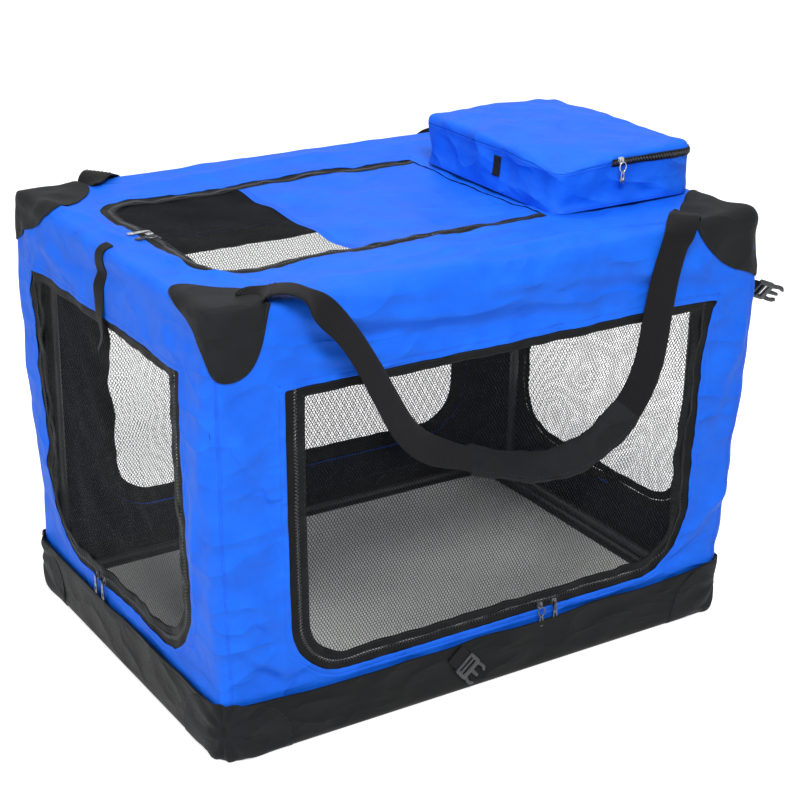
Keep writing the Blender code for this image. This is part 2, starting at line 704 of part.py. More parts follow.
def buckles():
    """The buckle halves of the straps that hold the folded carrier shut."""
    reach = BUCKLE[2] / 2 + GAP
    front_y = -(DEPTH / 2 + GAP + BAND_THICK + reach)
    upright = Matrix.Rotation(math.radians(90), 4, "X")
    front_z = BAND_HEIGHT - FRONT_STRAP_DOWN
    buckle("front", Matrix.Translation((FRONT_BUCKLE_X, front_y, front_z)) @ upright, FRONT_STRAP_DROP)
    out = Matrix.Rotation(math.radians(-90), 4, "Y") @ Matrix.Rotation(math.radians(90), 4, "Z")
    right_x = WIDTH / 2 + GAP + STRAP_THICK / 2
    hang = Matrix.Translation((right_x, RIGHT_BUCKLE_IN - DEPTH / 2, HEIGHT - RIGHT_STRAP_DOWN))
    swing = Matrix.Rotation(-(math.pi / 2 - RIGHT_DROOP), 4, "Y")
    facing = Matrix.Rotation(math.radians(90), 4, "Z") @ upright
    buckle("right", hang @ swing @ facing, RIGHT_STRAP_REACH)


def main():
    """Build every piece."""
    clear_scene()
    base_tray()
    top_corner_patches()
    walls()
    top_panel()
    zip_tape("front", FRONT_WINDOW)
    zip_tape("left", END_WINDOW)
    zip_tape("right", END_WINDOW)
    zip_tape("top", TOP_WINDOW)
    mesh_door("front", FRONT_WINDOW, FRONT_NET, "front_door")
    back_window()
    mesh_door("left", END_WINDOW, END_NET, "left_door")
    mesh_door("right", END_WINDOW, END_NET, "right_door")
    top_door()
    frame_ring("base_frame", BASE_TUBE_Z)
    frame_ring("top_frame", TOP_TUBE_Z)
    end_frame("left_end_frame", -1, LEFT_LEG_Y)
    end_frame("right_end_frame", 1, RIGHT_LEG_Y)
    frame_hinges()
    floor_board()
    floor_mat()
    pocket()
    sliders()
    handle("front", Matrix())
    handle("back", Matrix.Rotation(math.pi, 4, "Z"))
    tie_strap("left", TIE_U)
    tie_strap("right", -TIE_U)
    buckles()


main()
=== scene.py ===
"""A folding soft-sided pet carrier: sewn blue polyester over a steel tube frame, with mesh doors.

Lengths are metres with +Z up, the front at -Y and the floor at z = 0.
"""
from __future__ import annotations

import logging
import math
from dataclasses import dataclass, field
from enum import Enum

import bmesh
import bpy
import numpy as np
from mathutils import Matrix, Vector

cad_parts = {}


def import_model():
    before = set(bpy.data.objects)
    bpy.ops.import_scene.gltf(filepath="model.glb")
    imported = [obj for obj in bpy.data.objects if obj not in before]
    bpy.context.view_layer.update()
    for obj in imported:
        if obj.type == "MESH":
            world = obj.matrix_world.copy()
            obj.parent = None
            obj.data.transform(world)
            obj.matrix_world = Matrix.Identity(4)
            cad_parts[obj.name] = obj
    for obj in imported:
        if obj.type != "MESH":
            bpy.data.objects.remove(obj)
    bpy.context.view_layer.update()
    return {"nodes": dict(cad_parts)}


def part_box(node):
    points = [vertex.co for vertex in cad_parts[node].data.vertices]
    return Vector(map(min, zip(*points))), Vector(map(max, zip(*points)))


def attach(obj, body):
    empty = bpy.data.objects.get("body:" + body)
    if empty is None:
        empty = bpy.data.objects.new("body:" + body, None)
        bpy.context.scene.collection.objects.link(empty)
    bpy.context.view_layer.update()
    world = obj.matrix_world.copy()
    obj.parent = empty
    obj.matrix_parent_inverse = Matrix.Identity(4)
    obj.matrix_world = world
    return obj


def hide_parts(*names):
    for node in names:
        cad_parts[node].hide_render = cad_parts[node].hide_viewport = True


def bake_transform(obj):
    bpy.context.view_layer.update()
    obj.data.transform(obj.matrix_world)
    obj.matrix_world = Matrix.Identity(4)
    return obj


log = logging.getLogger("carrier")

Points = np.ndarray
Faces = list[tuple[int, ...]]
Outline = list[tuple[float, float]]
Reach = tuple[tuple[float, float], ...]
Spot = tuple[float, float, float]
Tree = bpy.types.NodeTree
Node = bpy.types.Node
Piece = bpy.types.Object

MM = 0.001


def linear(code: str) -> tuple[float, float, float, float]:
    """Turn an sRGB hex value into linear colour.

    Args:
        code: The colour as six hex digits after a hash.

    Returns:
        Red, green, blue and an opaque alpha.
    """
    out = []
    for i in (1, 3, 5):
        c = int(code[i:i + 2], 16) / 255
        out.append(c / 12.92 if c <= 0.04045 else ((c + 0.055) / 1.055) ** 2.4)
    return (out[0], out[1], out[2], 1.0)


def set_inputs(tree: Tree, node: Node, **inputs) -> None:
    """Set or link a node's inputs.

    Args:
        tree: The node's tree.
        node: The node.
        **inputs: A value, another node's socket, or a node for its first output, for each input by its name
            or as i0 or i1 for its index.
    """
    for key, value in inputs.items():
        socket = node.inputs[int(key[1:]) if key[1:].isdigit() else key.replace("_", " ")]
        if isinstance(value, Node):
            value = value.outputs[0]
        if isinstance(value, bpy.types.NodeSocket):
            tree.links.new(value, socket)
        else:
            socket.default_value = value


def add_node(tree: Tree, kind: str, settings: dict | None = None, **inputs) -> Node:
    """Add one node with its settings and links.

    Args:
        tree: The node's tree.
        kind: The node's type name without "ShaderNode".
        settings: Attributes to set, such as an operation. "stops" gives a ramp's places and hex colours.
        **inputs: What its inputs hold, as set_inputs takes them.

    Returns:
        The new node.
    """
    node = tree.nodes.new("ShaderNode" + kind)
    for key, value in (settings or {}).items():
        if key == "stops":
            for stop, (position, code) in zip(node.color_ramp.elements, value):
                stop.position, stop.color = position, linear(code)
        else:
            setattr(node, key, value)
    set_inputs(tree, node, **inputs)
    return node


class Finish:
    """What a piece is made of. Each finish makes its Blender material once."""

    made: dict[str, bpy.types.Material] = {}

    def material(self) -> bpy.types.Material:
        """Return this finish's material, making it the first time."""
        if self.name not in Finish.made:
            new = bpy.data.materials.new(self.name)
            new.use_nodes = True
            self.dress(new.node_tree, new.node_tree.nodes["Principled BSDF"])
            Finish.made[self.name] = new
        return Finish.made[self.name]

    def dress(self, tree: Tree, shader: Node) -> None:
        """Fill in the shader. Each finish has its own."""
        raise NotImplementedError


@dataclass(frozen=True)
class WovenPolyester(Finish):
    """Oxford polyester: a plain weave of flat filament yarn, which gives a soft sheen along the folds."""

    name: str
    body: str
    light: str
    roughness: float = 0.55
    sheen: float = 0.25
    gloss: float = 0.22
    # The real yarn is about 0.4 mm, too fine to show, so it is drawn a little over twice as wide
    thread: float = 0.9 * MM
    mottle: float = 38 * MM
    crush: float = 3.6 * MM

    def dress(self, tree: Tree, shader: Node) -> None:
        """Weave, creases and colour that drifts with handling."""
        place = add_node(tree, "TexCoord").outputs["Object"]
        drift = add_node(tree, "TexNoise", Vector=place, Scale=1 / self.mottle, Detail=4.0, Roughness=0.6)
        tone = add_node(tree, "ValToRGB", {"stops": ((0.30, self.body), (0.75, self.light))}, Fac=drift)
        rough = add_node(tree, "MapRange", Value=drift, To_Min=self.roughness - 0.07,
                         To_Max=self.roughness + 0.10)
        drawn = add_node(tree, "Mapping", Vector=place, Rotation=(0.0, math.radians(20), math.radians(12)),
                         Scale=(0.40, 0.55, 1.0))
        crush = add_node(tree, "TexNoise", {"noise_type": "RIDGED_MULTIFRACTAL"}, Vector=drawn,
                         Scale=1 / self.mottle, Detail=3.0, Offset=0.85)
        flat = add_node(tree, "Mapping", Vector=add_node(tree, "UVMap"),
                        Scale=(2 * math.pi / self.thread, 2 * math.pi / self.thread, 1.0))
        part = add_node(tree, "SeparateXYZ", Vector=flat)
        warp, weft = (add_node(tree, "Math", {"operation": "SINE"}, i0=part.outputs[k]) for k in "XY")
        weave = add_node(tree, "Math", {"operation": "MULTIPLY"}, i0=warp, i1=weft)
        yarns = add_node(tree, "Bump", Height=weave, Distance=0.05 * MM)
        creases = add_node(tree, "Bump", Height=crush, Distance=self.crush, Normal=yarns)
        set_inputs(tree, shader, Base_Color=tone, Roughness=rough, Normal=creases, Sheen_Roughness=0.4,
                   Specular_IOR_Level=self.gloss, Sheen_Weight=self.sheen, Sheen_Tint=linear(self.light))


@dataclass(frozen=True)
class Webbing(Finish):
    """Woven polypropylene tape: ribs across its width that catch the light as fine bars."""

    name: str
    body: str
    light: str
    rib: float = 1.6 * MM
    fluff: float = 2.381 * MM
    roughness: float = 0.7

    def dress(self, tree: Tree, shader: Node) -> None:
        """Ribs from the pattern's own length, with fluff, and a painted highlight that lightens each rib
        crest.
        """
        spot = add_node(tree, "SeparateXYZ", Vector=add_node(tree, "UVMap"))
        along, across = (add_node(tree, "Math", {"operation": "MULTIPLY"}, i0=spot.outputs[axis],
                                  i1=turn / self.rib) for axis, turn in (("X", 2 * math.pi), ("Y", math.pi)))
        lean = add_node(tree, "Math", {"operation": "SINE"}, i0=across)
        turned = add_node(tree, "Math", {"operation": "MULTIPLY_ADD"}, i0=lean, i1=0.9, i2=along)
        ribs = add_node(tree, "Math", {"operation": "SINE"}, i0=turned)
        height = add_node(tree, "MapRange", Value=ribs, From_Min=-1.0)
        fluff = add_node(tree, "TexNoise", Vector=add_node(tree, "TexCoord").outputs["Object"],
                         Scale=1 / self.fluff, Detail=3.0)
        # worn holds the rib crests painted lighter, a painted highlight, scaled by the random fluff.
        worn = add_node(tree, "Math", {"operation": "MULTIPLY"}, i0=height, i1=fluff)
        tone = add_node(tree, "ValToRGB", {"stops": ((0.15, self.body), (0.65, self.light))}, Fac=worn)
        bump = add_node(tree, "Bump", Height=height, Distance=0.25 * MM)
        set_inputs(tree, shader, Base_Color=tone, Normal=bump, Roughness=self.roughness, Sheen_Weight=0.04,
                   Specular_IOR_Level=0.13)


@dataclass(frozen=True)
class HoledMesh(Finish):
    """Knitted polyester mesh: round holes in a six-sided pattern, with black yarn between them."""

    name: str
    yarn: str
    worn: str = "#1E2024"
    # The real holes are 3.1 to 3.5 mm apart, and are drawn a little further apart so that they show
    pitch: float = 3.7 * MM
    hole: float = 1.42 * MM
    edge: float = 0.2 * MM
    lint: float = 6.25 * MM

    def dress(self, tree: Tree, shader: Node) -> None:
        """Cut the holes with the shader's alpha and round the yarn with bump."""
        tall = self.pitch * math.sqrt(3)
        cell = add_node(tree, "Mapping", Vector=add_node(tree, "UVMap"),
                        Scale=(1 / self.pitch, 1 / tall, 1.0))
        reach = []
        for shift in (0.0, 0.5):
            spot = cell
            for operation, by in (("ADD", (shift, shift, 0.0)), ("FRACTION", (0.0, 0.0, 0.0)),
                                  ("SUBTRACT", (0.5, 0.5, 0.0)),
                                  ("MULTIPLY", (self.pitch, tall * 0.82, 0.0))):
                spot = add_node(tree, "VectorMath", {"operation": operation}, i0=spot, i1=by)
            reach.append(add_node(tree, "VectorMath", {"operation": "LENGTH"}, i0=spot).outputs["Value"])
        near = add_node(tree, "Math", {"operation": "MINIMUM"}, i0=reach[0], i1=reach[1])
        solid = add_node(tree, "MapRange", Value=near, From_Min=self.hole - self.edge / 2,
                         From_Max=self.hole + self.edge / 2)
        swell = add_node(tree, "MapRange", {"interpolation_type": "SMOOTHSTEP"}, Value=near,
                         From_Min=self.hole, From_Max=self.pitch * 0.62)
        lint = add_node(tree, "TexNoise", Vector=add_node(tree, "TexCoord").outputs["Object"],
                        Scale=1 / self.lint)
        tone = add_node(tree, "ValToRGB", {"stops": ((0.0, self.yarn), (1.0, self.worn))}, Fac=lint)
        bump = add_node(tree, "Bump", Height=swell, Distance=0.3 * MM)
        set_inputs(tree, shader, Base_Color=tone, Normal=bump, Alpha=solid, Roughness=0.6,
                   Specular_IOR_Level=0.15)


@dataclass(frozen=True)
class MouldedPlastic(Finish):
    """Injection-moulded acetal: a fine spark-eroded grain that softens its shine."""

    name: str
    body: str
    worn: str = "#303236"
    roughness: float = 0.38
    grain: float = 0.6667 * MM
    scuff: float = 11.11 * MM

    def dress(self, tree: Tree, shader: Node) -> None:
        """Grain in the bump and scuffs in the roughness."""
        place = add_node(tree, "TexCoord").outputs["Object"]
        grain = add_node(tree, "TexNoise", Vector=place, Scale=1 / self.grain, Detail=2.0)
        scuff = add_node(tree, "TexNoise", Vector=place, Scale=1 / self.scuff, Detail=5.0)
        tone = add_node(tree, "ValToRGB", {"stops": ((0.0, self.body), (1.0, self.worn))}, Fac=scuff)
        rough = add_node(tree, "MapRange", Value=scuff, To_Min=self.roughness - 0.08,
                         To_Max=self.roughness + 0.15)
        bump = add_node(tree, "Bump", Height=grain, Distance=0.05 * MM)
        set_inputs(tree, shader, Base_Color=tone, Roughness=rough, Normal=bump)


@dataclass(frozen=True)
class CastMetal(Finish):
    """Die-cast zinc under a thin coat: bright where it is rubbed, in patches at random."""

    name: str
    body: str
    worn: str
    roughness: float = 0.3
    rub: float = 4.545 * MM

    def dress(self, tree: Tree, shader: Node) -> None:
        """Rubbed patches and a faint cast skin."""
        rub = add_node(tree, "TexNoise", Vector=add_node(tree, "TexCoord").outputs["Object"],
                       Scale=1 / self.rub, Detail=5.0)
        tone = add_node(tree, "ValToRGB", {"stops": ((0.35, self.body), (0.70, self.worn))}, Fac=rub)
        rough = add_node(tree, "MapRange", Value=rub, To_Min=self.roughness + 0.12,
                         To_Max=self.roughness - 0.06)
        bump = add_node(tree, "Bump", Height=rub, Distance=0.05 * MM)
        set_inputs(tree, shader, Base_Color=tone, Roughness=rough, Normal=bump, Metallic=1.0)


@dataclass(frozen=True)
class Fleece(Finish):
    """Brushed polyester fleece: short curled pile that scatters light and hides its knit."""

    name: str
    body: str
    light: str
    curl: float = 3.03 * MM
    pile: float = 1.111 * MM

    def dress(self, tree: Tree, shader: Node) -> None:
        """Curls about 3 mm across, in bump and tone."""
        place = add_node(tree, "TexCoord").outputs["Object"]
        curl = add_node(tree, "TexVoronoi", Vector=place, Scale=1 / self.curl)
        pile = add_node(tree, "TexNoise", Vector=place, Scale=1 / self.pile, Detail=3.0)
        both = add_node(tree, "Math", {"operation": "MULTIPLY_ADD"}, i0=pile, i1=0.5, i2=curl)
        tone = add_node(tree, "ValToRGB", {"stops": ((0.2, self.light), (0.95, self.body))}, Fac=both)
        bump = add_node(tree, "Bump", Height=both, Distance=-1.2 * MM)
        set_inputs(tree, shader, Base_Color=tone, Normal=bump, Roughness=0.95, Sheen_Weight=0.4)


@dataclass(frozen=True)
class Thread(Finish):
    """Bonded polyester sewing thread: two plies with a slight shine."""

    name: str
    body: str
    twist: float = 2.0 * MM

    def dress(self, tree: Tree, shader: Node) -> None:
        """A twist that shows as small bars along each stitch, the light ones 1.6 times as bright: a painted
        highlight on each ply.
        """
        ply = add_node(tree, "TexWave", {"bands_direction": "DIAGONAL"}, Scale=1 / self.twist, Distortion=1.0,
                       Vector=add_node(tree, "TexCoord").outputs["Object"]).outputs["Fac"]
        tone = add_node(tree, "ValToRGB", {"stops": ((0.0, self.body),)}, Fac=ply)
        # The lighter stop is a painted highlight along the twist, the body colour made 1.6 times as bright.
        tone.color_ramp.elements[1].color = tuple(min(1.0, c * 1.6) for c in linear(self.body))
        bump = add_node(tree, "Bump", Height=ply, Distance=0.05 * MM)
        set_inputs(tree, shader, Base_Color=tone, Normal=bump, Roughness=0.5)


@dataclass(frozen=True)
class PaintedTube(Finish):
    """Powder-coated steel tube: an even satin skin with a slight orange-peel ripple."""

    name: str
    body: str
    worn: str = "#3A3C40"
    roughness: float = 0.42
    peel: float = 1.923 * MM
    rub: float = 16.67 * MM

    def dress(self, tree: Tree, shader: Node) -> None:
        """Ripple in the coat and rub marks at random."""
        place = add_node(tree, "TexCoord").outputs["Object"]
        peel = add_node(tree, "TexNoise", Vector=place, Scale=1 / self.peel, Detail=1.0)
        rub = add_node(tree, "TexNoise", Vector=place, Scale=1 / self.rub, Detail=6.0)
        tone = add_node(tree, "ValToRGB", {"stops": ((0.0, self.body), (1.0, self.worn))}, Fac=rub)
        bump = add_node(tree, "Bump", Height=peel, Distance=0.04 * MM)
        set_inputs(tree, shader, Base_Color=tone, Normal=bump, Roughness=self.roughness, Coat_Weight=0.2)


@dataclass(frozen=True)
class PressedBoard(Finish):
    """Pressed polypropylene board: a dull leathery print rolled into its face."""

    name: str
    body: str
    worn: str = "#2C2C2F"
    grain: float = 2.083 * MM

    def dress(self, tree: Tree, shader: Node) -> None:
        """Rolled grain about 2 mm across."""
        grain = add_node(tree, "TexVoronoi", {"feature": "DISTANCE_TO_EDGE"}, Scale=1 / self.grain,
                         Vector=add_node(tree, "TexCoord").outputs["Object"])
        tone = add_node(tree, "ValToRGB", {"stops": ((0.0, self.body), (1.0, self.worn))}, Fac=grain)
        bump = add_node(tree, "Bump", Height=grain, Distance=0.2 * MM)
        set_inputs(tree, shader, Base_Color=tone, Normal=bump, Roughness=0.7)


@dataclass(frozen=True)
class StudioFloor(Finish):
    """Matt white studio floor, lifted to white for the camera so that only the shadow shows."""

    name: str = "studio_floor"
    body: str = "#F4F4F4"
    lift: float = 0.72

    def dress(self, tree: Tree, shader: Node) -> None:
        """A plain diffuse face, brighter where the camera or a reflection sees it."""
        glow = add_node(tree, "Math", {"operation": "MULTIPLY"}, i0=Studio.seen(tree), i1=self.lift)
        set_inputs(tree, shader, Base_Color=linear(self.body), Roughness=0.9, Specular_IOR_Level=0.0,
                   Emission_Color=(1.0, 1.0, 1.0, 1.0), Emission_Strength=glow)


BLUE = WovenPolyester("blue_oxford", "#0B5FE0", "#136CF0", sheen=0.08)
BLACK = WovenPolyester("black_oxford", "#131416", "#1C1D20", roughness=0.66, sheen=0.04, gloss=0.14)
BAND = WovenPolyester("base_oxford", "#0A0B0C", "#121315", roughness=0.55, sheen=0.03, gloss=0.12)
# A dark navy sheet under the blue cloth: painted shade that darkens the carrier's inside seen through the
# nets.
PAINTED_SHADE_CLOTH = WovenPolyester("painted_shade_navy", "#060B1A", "#0A122C", roughness=0.6, sheen=0.0, gloss=0.10)
TAPE = Webbing("zip_tape", "#060607", "#0D0D0F", rib=0.9 * MM)
STRAP = Webbing("strap_webbing", "#08080A", "#17171A")
NET = HoledMesh("black_mesh", "#0C0D0F")
FLEECE = Fleece("mat_fleece", "#E4E4E0", "#FAFAF6")
BLUE_THREAD = Thread("blue_thread", "#0C45CE")
BLACK_THREAD = Thread("black_thread", "#101012")
TEETH = MouldedPlastic("zip_coil", "#101012", roughness=0.3)
PLASTIC = MouldedPlastic("buckle_acetal", "#101113")
GUNMETAL = CastMetal("dark_zinc", "#3A3B40", "#77797F")
NICKEL = CastMetal("nickel_zinc", "#9A9CA0", "#D8DADC", roughness=0.22)
TUBE = PaintedTube("coated_tube", "#1B1C1F")
BOARD = PressedBoard("base_board", "#161618")


class Face(Enum):
    """A side of the carrier, as its across axis and its outward axis in plan. The top's up axis is +X."""

    FRONT = ((1, 0), (0, -1))
    BACK = ((-1, 0), (0, 1))
    LEFT = ((0, -1), (-1, 0))
    RIGHT = ((0, 1), (1, 0))
    TOP = ((0, -1), (0, 0))


def smooth(x: Points) -> Points:
    """Ease from 0 at 0 to 1 at 1."""
    t = np.clip(x, 0.0, 1.0)
    return t * t * (3 - 2 * t)


def lengths(points: Points) -> Points:
    """Give each point's distance along its line, from 0."""
    return np.concatenate([[0.0], np.cumsum(np.linalg.norm(np.diff(points, axis=0), axis=1))])


def unit(vectors: Points) -> Points:
    """Scale vectors to a length of 1."""
    return vectors / np.maximum(np.linalg.norm(vectors, axis=-1, keepdims=True), 1e-12)


def evenly(points: Points, count: int) -> Points:
    """Place points at equal steps along a line.

    Args:
        points: The line's own points.
        count: How many to return, both ends among them.

    Returns:
        The new points.
    """
    along = lengths(points)
    want = np.linspace(0.0, along[-1], count)
    return np.stack([np.interp(want, along, points[:, k]) for k in range(points.shape[1])], axis=1)


def curve_through(points: tuple[Spot, ...], steps: int) -> Points:
    """Run a smooth line through a few points.

    Args:
        points: The points that shape the line.
        steps: Points on each span.

    Returns:
        The line's points.
    """
    known = np.array(points, float)
    padded = np.vstack([2 * known[0] - known[1], known, 2 * known[-1] - known[-2]])
    out = []
    for i in range(1, len(padded) - 2):
        a, b, c, d = padded[i - 1:i + 3]
        for t in np.linspace(0, 1, steps, endpoint=False):
            out.append(0.5 * (2 * b + (c - a) * t + (2 * a - 5 * b + 4 * c - d) * t ** 2
                              + (3 * b - 3 * c + d - a) * t ** 3))
    out.append(known[-1])
    return np.array(out)


@dataclass(frozen=True)
class Waves:
    """Soft random ripples of about one length, as sine waves in many directions."""

    length: float
    height: float
    seed: int
    count: int = 16

    def at(self, points: Points) -> Points:
        """Height at each point."""
        rng = np.random.default_rng(self.seed)
        ways = rng.normal(size=(3, self.count))
        ways *= 2 * math.pi / self.length * rng.uniform(0.6, 1.5, self.count) / np.linalg.norm(ways, axis=0)
        phase = rng.uniform(0, 2 * math.pi, self.count)
        total = np.sin(points @ ways + phase).sum(axis=-1)
        return self.height * total * math.sqrt(2 / self.count)


@dataclass(frozen=True)
class Fold:
    """One fold in slack cloth: a ridge, or with a negative height a groove, that fades at its ends."""

    start: Points
    end: Points
    height: float
    width: float

    def at(self, points: Points) -> Points:
        """Height at each point."""
        run = self.end - self.start
        share = np.clip(((points - self.start) @ run) / (run @ run), 0, 1)
        away = np.linalg.norm(points - self.start - share[..., None] * run, axis=-1) / self.width
        return self.height * np.exp(-away ** 1.6) * smooth(4 * share) * smooth(4 * (1 - share))


@dataclass(frozen=True)
class Shell:
    """A box with rounded edges that cloth is laid on. A point is given on its sharp box, and then rounded."""

    half_x: float
    half_y: float
    level: float
    side_radius: float
    edge_radius: float
    middle: tuple[float, float] = (0.0, 0.0)
    sense: int = 1
    spread: tuple[float, float] = (0.0, 0.0)
    column: Reach = ((0.0, 0.0),)

    def at(self, face: Face, u: Points, v: Points) -> Points:
        """Find places on the sharp box. One past a face's edge carries on round the corner.

        Args:
            face: The side.
            u: Across, from the side's middle.
            v: Height, or along +X on the top.

        Returns:
            Points on the sharp box.
        """
        u, v = (np.asarray(k, float) for k in np.broadcast_arrays(u, v))
        if face is Face.TOP:
            return np.stack([v + self.middle[0], self.middle[1] - u, np.full(u.shape, self.level)], -1)
        (ax, ay), (ox, oy) = face.value
        half = self.half_x if ax else self.half_y
        over = np.maximum(np.abs(u) - half, 0) + np.maximum(self.sense * (v - self.level), 0)
        across = np.clip(u, -half, half)
        x = self.middle[0] + ax * across + ox * (self.half_x - over)
        y = self.middle[1] + ay * across + oy * (self.half_y - over)
        z = np.minimum(v, self.level) if self.sense > 0 else np.maximum(v, self.level)
        return np.stack([x, y, z], -1)

    def around(self, count: int) -> tuple[Points, Points]:
        """Walk round the sides from the front-left corner.

        Args:
            count: Points on each of the four sides.

        Returns:
            Places in plan, the first again at the end, and the distance to each.
        """
        x, y = self.half_x, self.half_y
        corners = np.array([(-x, -y), (x, -y), (x, y), (-x, y), (-x, -y)])
        share = np.linspace(0, 1, count, endpoint=False)[:, None]
        walk = np.vstack([a + (b - a) * share for a, b in zip(corners, corners[1:])] + [corners[:1]])
        return walk + np.array(self.middle), lengths(walk)

    def lid(self, p: Points, q: Points, rim: float) -> Points:
        """Lay a flat sheet over the closed face and down the sides.

        Args:
            p: Along X from the middle.
            q: Along Y from the middle.
            rim: How far down the sides the sheet may reach.

        Returns:
            Points on the sharp box.
        """
        down = np.clip(np.maximum(np.abs(p) - self.half_x, np.abs(q) - self.half_y) / rim, 0, 1) * rim
        out = []
        for value, half in ((p, self.half_x), (q, self.half_y)):
            keep = half - 2 * rim
            past = keep + (np.abs(value) - keep) * (half - keep) / (half + down - keep)
            out.append(np.where(np.abs(value) > keep, np.sign(value) * past, value))
        return np.stack([out[0] + self.middle[0], out[1] + self.middle[1], self.level - down], -1)

    def place(self, sharp: Points, lift: Points | float = 0.0) -> Points:
        """Round the box and stand points off it.

        Args:
            sharp: Points on the sharp box.
            lift: How far outside the rounded box each one goes.

        Returns:
            The final points.
        """
        x, y = sharp[..., 0] - self.middle[0], sharp[..., 1] - self.middle[1]
        down = self.sense * (self.level - sharp[..., 2])
        side = np.minimum(self.half_x - np.abs(x), self.half_y - np.abs(y))
        a, b = np.maximum(self.edge_radius - side, 0), np.maximum(self.edge_radius - down, 0)
        reach = np.maximum(np.hypot(a, b), 1e-9)
        pull = 1 - np.maximum(a, b) / reach
        new_side = side + a * pull - lift * a / reach
        down = down + b * pull - lift * b / reach
        moved = a > 0
        x = np.where(moved, x * (self.half_x - new_side) / np.maximum(self.half_x - side, 1e-6), x)
        y = np.where(moved, y * (self.half_y - new_side) / np.maximum(self.half_y - side, 1e-6), y)
        mid_x, mid_y = self.half_x - self.side_radius, self.half_y - self.side_radius
        ex, ey = np.abs(x) - mid_x, np.abs(y) - mid_y
        keep = np.where((ex > 0) & (ey > 0), np.maximum(ex, ey) / np.maximum(np.hypot(ex, ey), 1e-9), 1.0)
        x = np.where(keep < 1, np.sign(x) * (mid_x + ex * keep), x)
        y = np.where(keep < 1, np.sign(y) * (mid_y + ey * keep), y)
        z = self.level - self.sense * down
        return self.lean(np.stack([x + self.middle[0], y + self.middle[1], z], -1))

    def lean(self, points: Points) -> Points:
        """Let the ends and the back belly outward with height, and the right corners by their column."""
        x, y, z = np.moveaxis(points, -1, 0)
        high = smooth(z / 0.40)
        heights, bulges = zip(*self.column)
        corner = smooth((x - 0.285) / 0.07) * smooth((np.abs(y) - 0.185) / 0.05)
        x = x * (1 + self.spread[0] * high) + np.interp(z, heights, bulges) * MM * corner
        return np.stack([x, y + np.maximum(y, 0) * self.spread[1] * high, z], -1)

    def outward(self, sharp: Points) -> Points:
        """Unit normals of the rounded box."""
        return unit(self.place(sharp, MM) - self.place(sharp, 0.0))

    def row(self, sharp: Points, lift: Points | float) -> tuple[Points, Points]:
        """Lay a row of stitches: its points stood off the box, and the normals there."""
        return self.place(sharp, lift), self.outward(sharp)


@dataclass(frozen=True)
class Opening:
    """A window in one side. Its two low corners are round."""

    face: Face
    centre: float
    half: float
    low: float
    high: float
    radius: float

    def loop(self, inset: float, across: int, up: int, top_inset: float | None = None) -> Points:
        """Walk the outline from its high left corner, down and round.

        Args:
            inset: How far inside the outline, or outside if negative.
            across: Steps on the low and the high side.
            up: Steps on each of the other sides.
            top_inset: The inset on the high side, if it differs.

        Returns:
            Across and up of each point, the first again at the end.
        """
        top = self.high - (inset if top_inset is None else top_inset)
        half, low, radius = self.half - inset, self.low + inset, max(self.radius - inset, 0.5 * MM)
        turn = np.linspace(0, math.pi / 4, 9)

        def bend(middle: float, start: float) -> Points:
            angle = start + turn
            return np.stack([middle + radius * np.cos(angle), low + radius + radius * np.sin(angle)], 1)

        left, right = radius - half, half - radius
        sides = [
            (np.vstack([[(-half, top)], bend(left, math.pi)]), up),
            (np.vstack([bend(left, 1.25 * math.pi), bend(right, 1.5 * math.pi)]), across),
            (np.vstack([bend(right, 1.75 * math.pi), [(half, top)]]), up),
            (np.array([(half, top), (-half, top)]), across),
        ]
        out = np.vstack([evenly(points, count + 1)[:-1] for points, count in sides])
        out[:, 0] += self.centre
        return np.vstack([out, out[:1]])

    def outside(self, u: Points, v: Points) -> Points:
        """How far each place lies outside the outline, and below zero inside it."""
        rise = v - (self.low + self.high) / 2
        radius = np.where(rise < 0, self.radius, 0.0)
        x = np.abs(u - self.centre) - self.half + radius
        y = np.abs(rise) - (self.high - self.low) / 2 + radius
        return np.hypot(np.maximum(x, 0), np.maximum(y, 0)) + np.minimum(np.maximum(x, y), 0) - radius

    def pane(self, inset: float, low_inset: float, top_inset: float, step: float) -> Points:
        """Fill the opening with a grid whose low corners are rounded.

        Args:
            inset: Inside the two upright sides.
            low_inset: Inside the low side.
            top_inset: Inside the high side.
            step: The grid's pitch.

        Returns:
            Across and up of each point, rows by columns.
        """
        half, low, high = self.half - inset, self.low + low_inset, self.high - top_inset
        u, v = np.meshgrid(np.linspace(-half, half, round(2 * half / step)),
                           np.linspace(low, high, round((high - low) / step)))
        radius = max(self.radius - inset, 0.0)
        ex, ey = np.abs(u) - half + radius, low + radius - v
        both = (ex > 0) & (ey > 0)
        keep = np.where(both, np.maximum(ex, ey) / np.maximum(np.hypot(ex, ey), 1e-9), 1.0)
        u = np.where(both, np.sign(u) * (half - radius + ex * keep), u)
        v = np.where(both, low + radius - ey * keep, v)
        return np.stack([u + self.centre, v], -1)


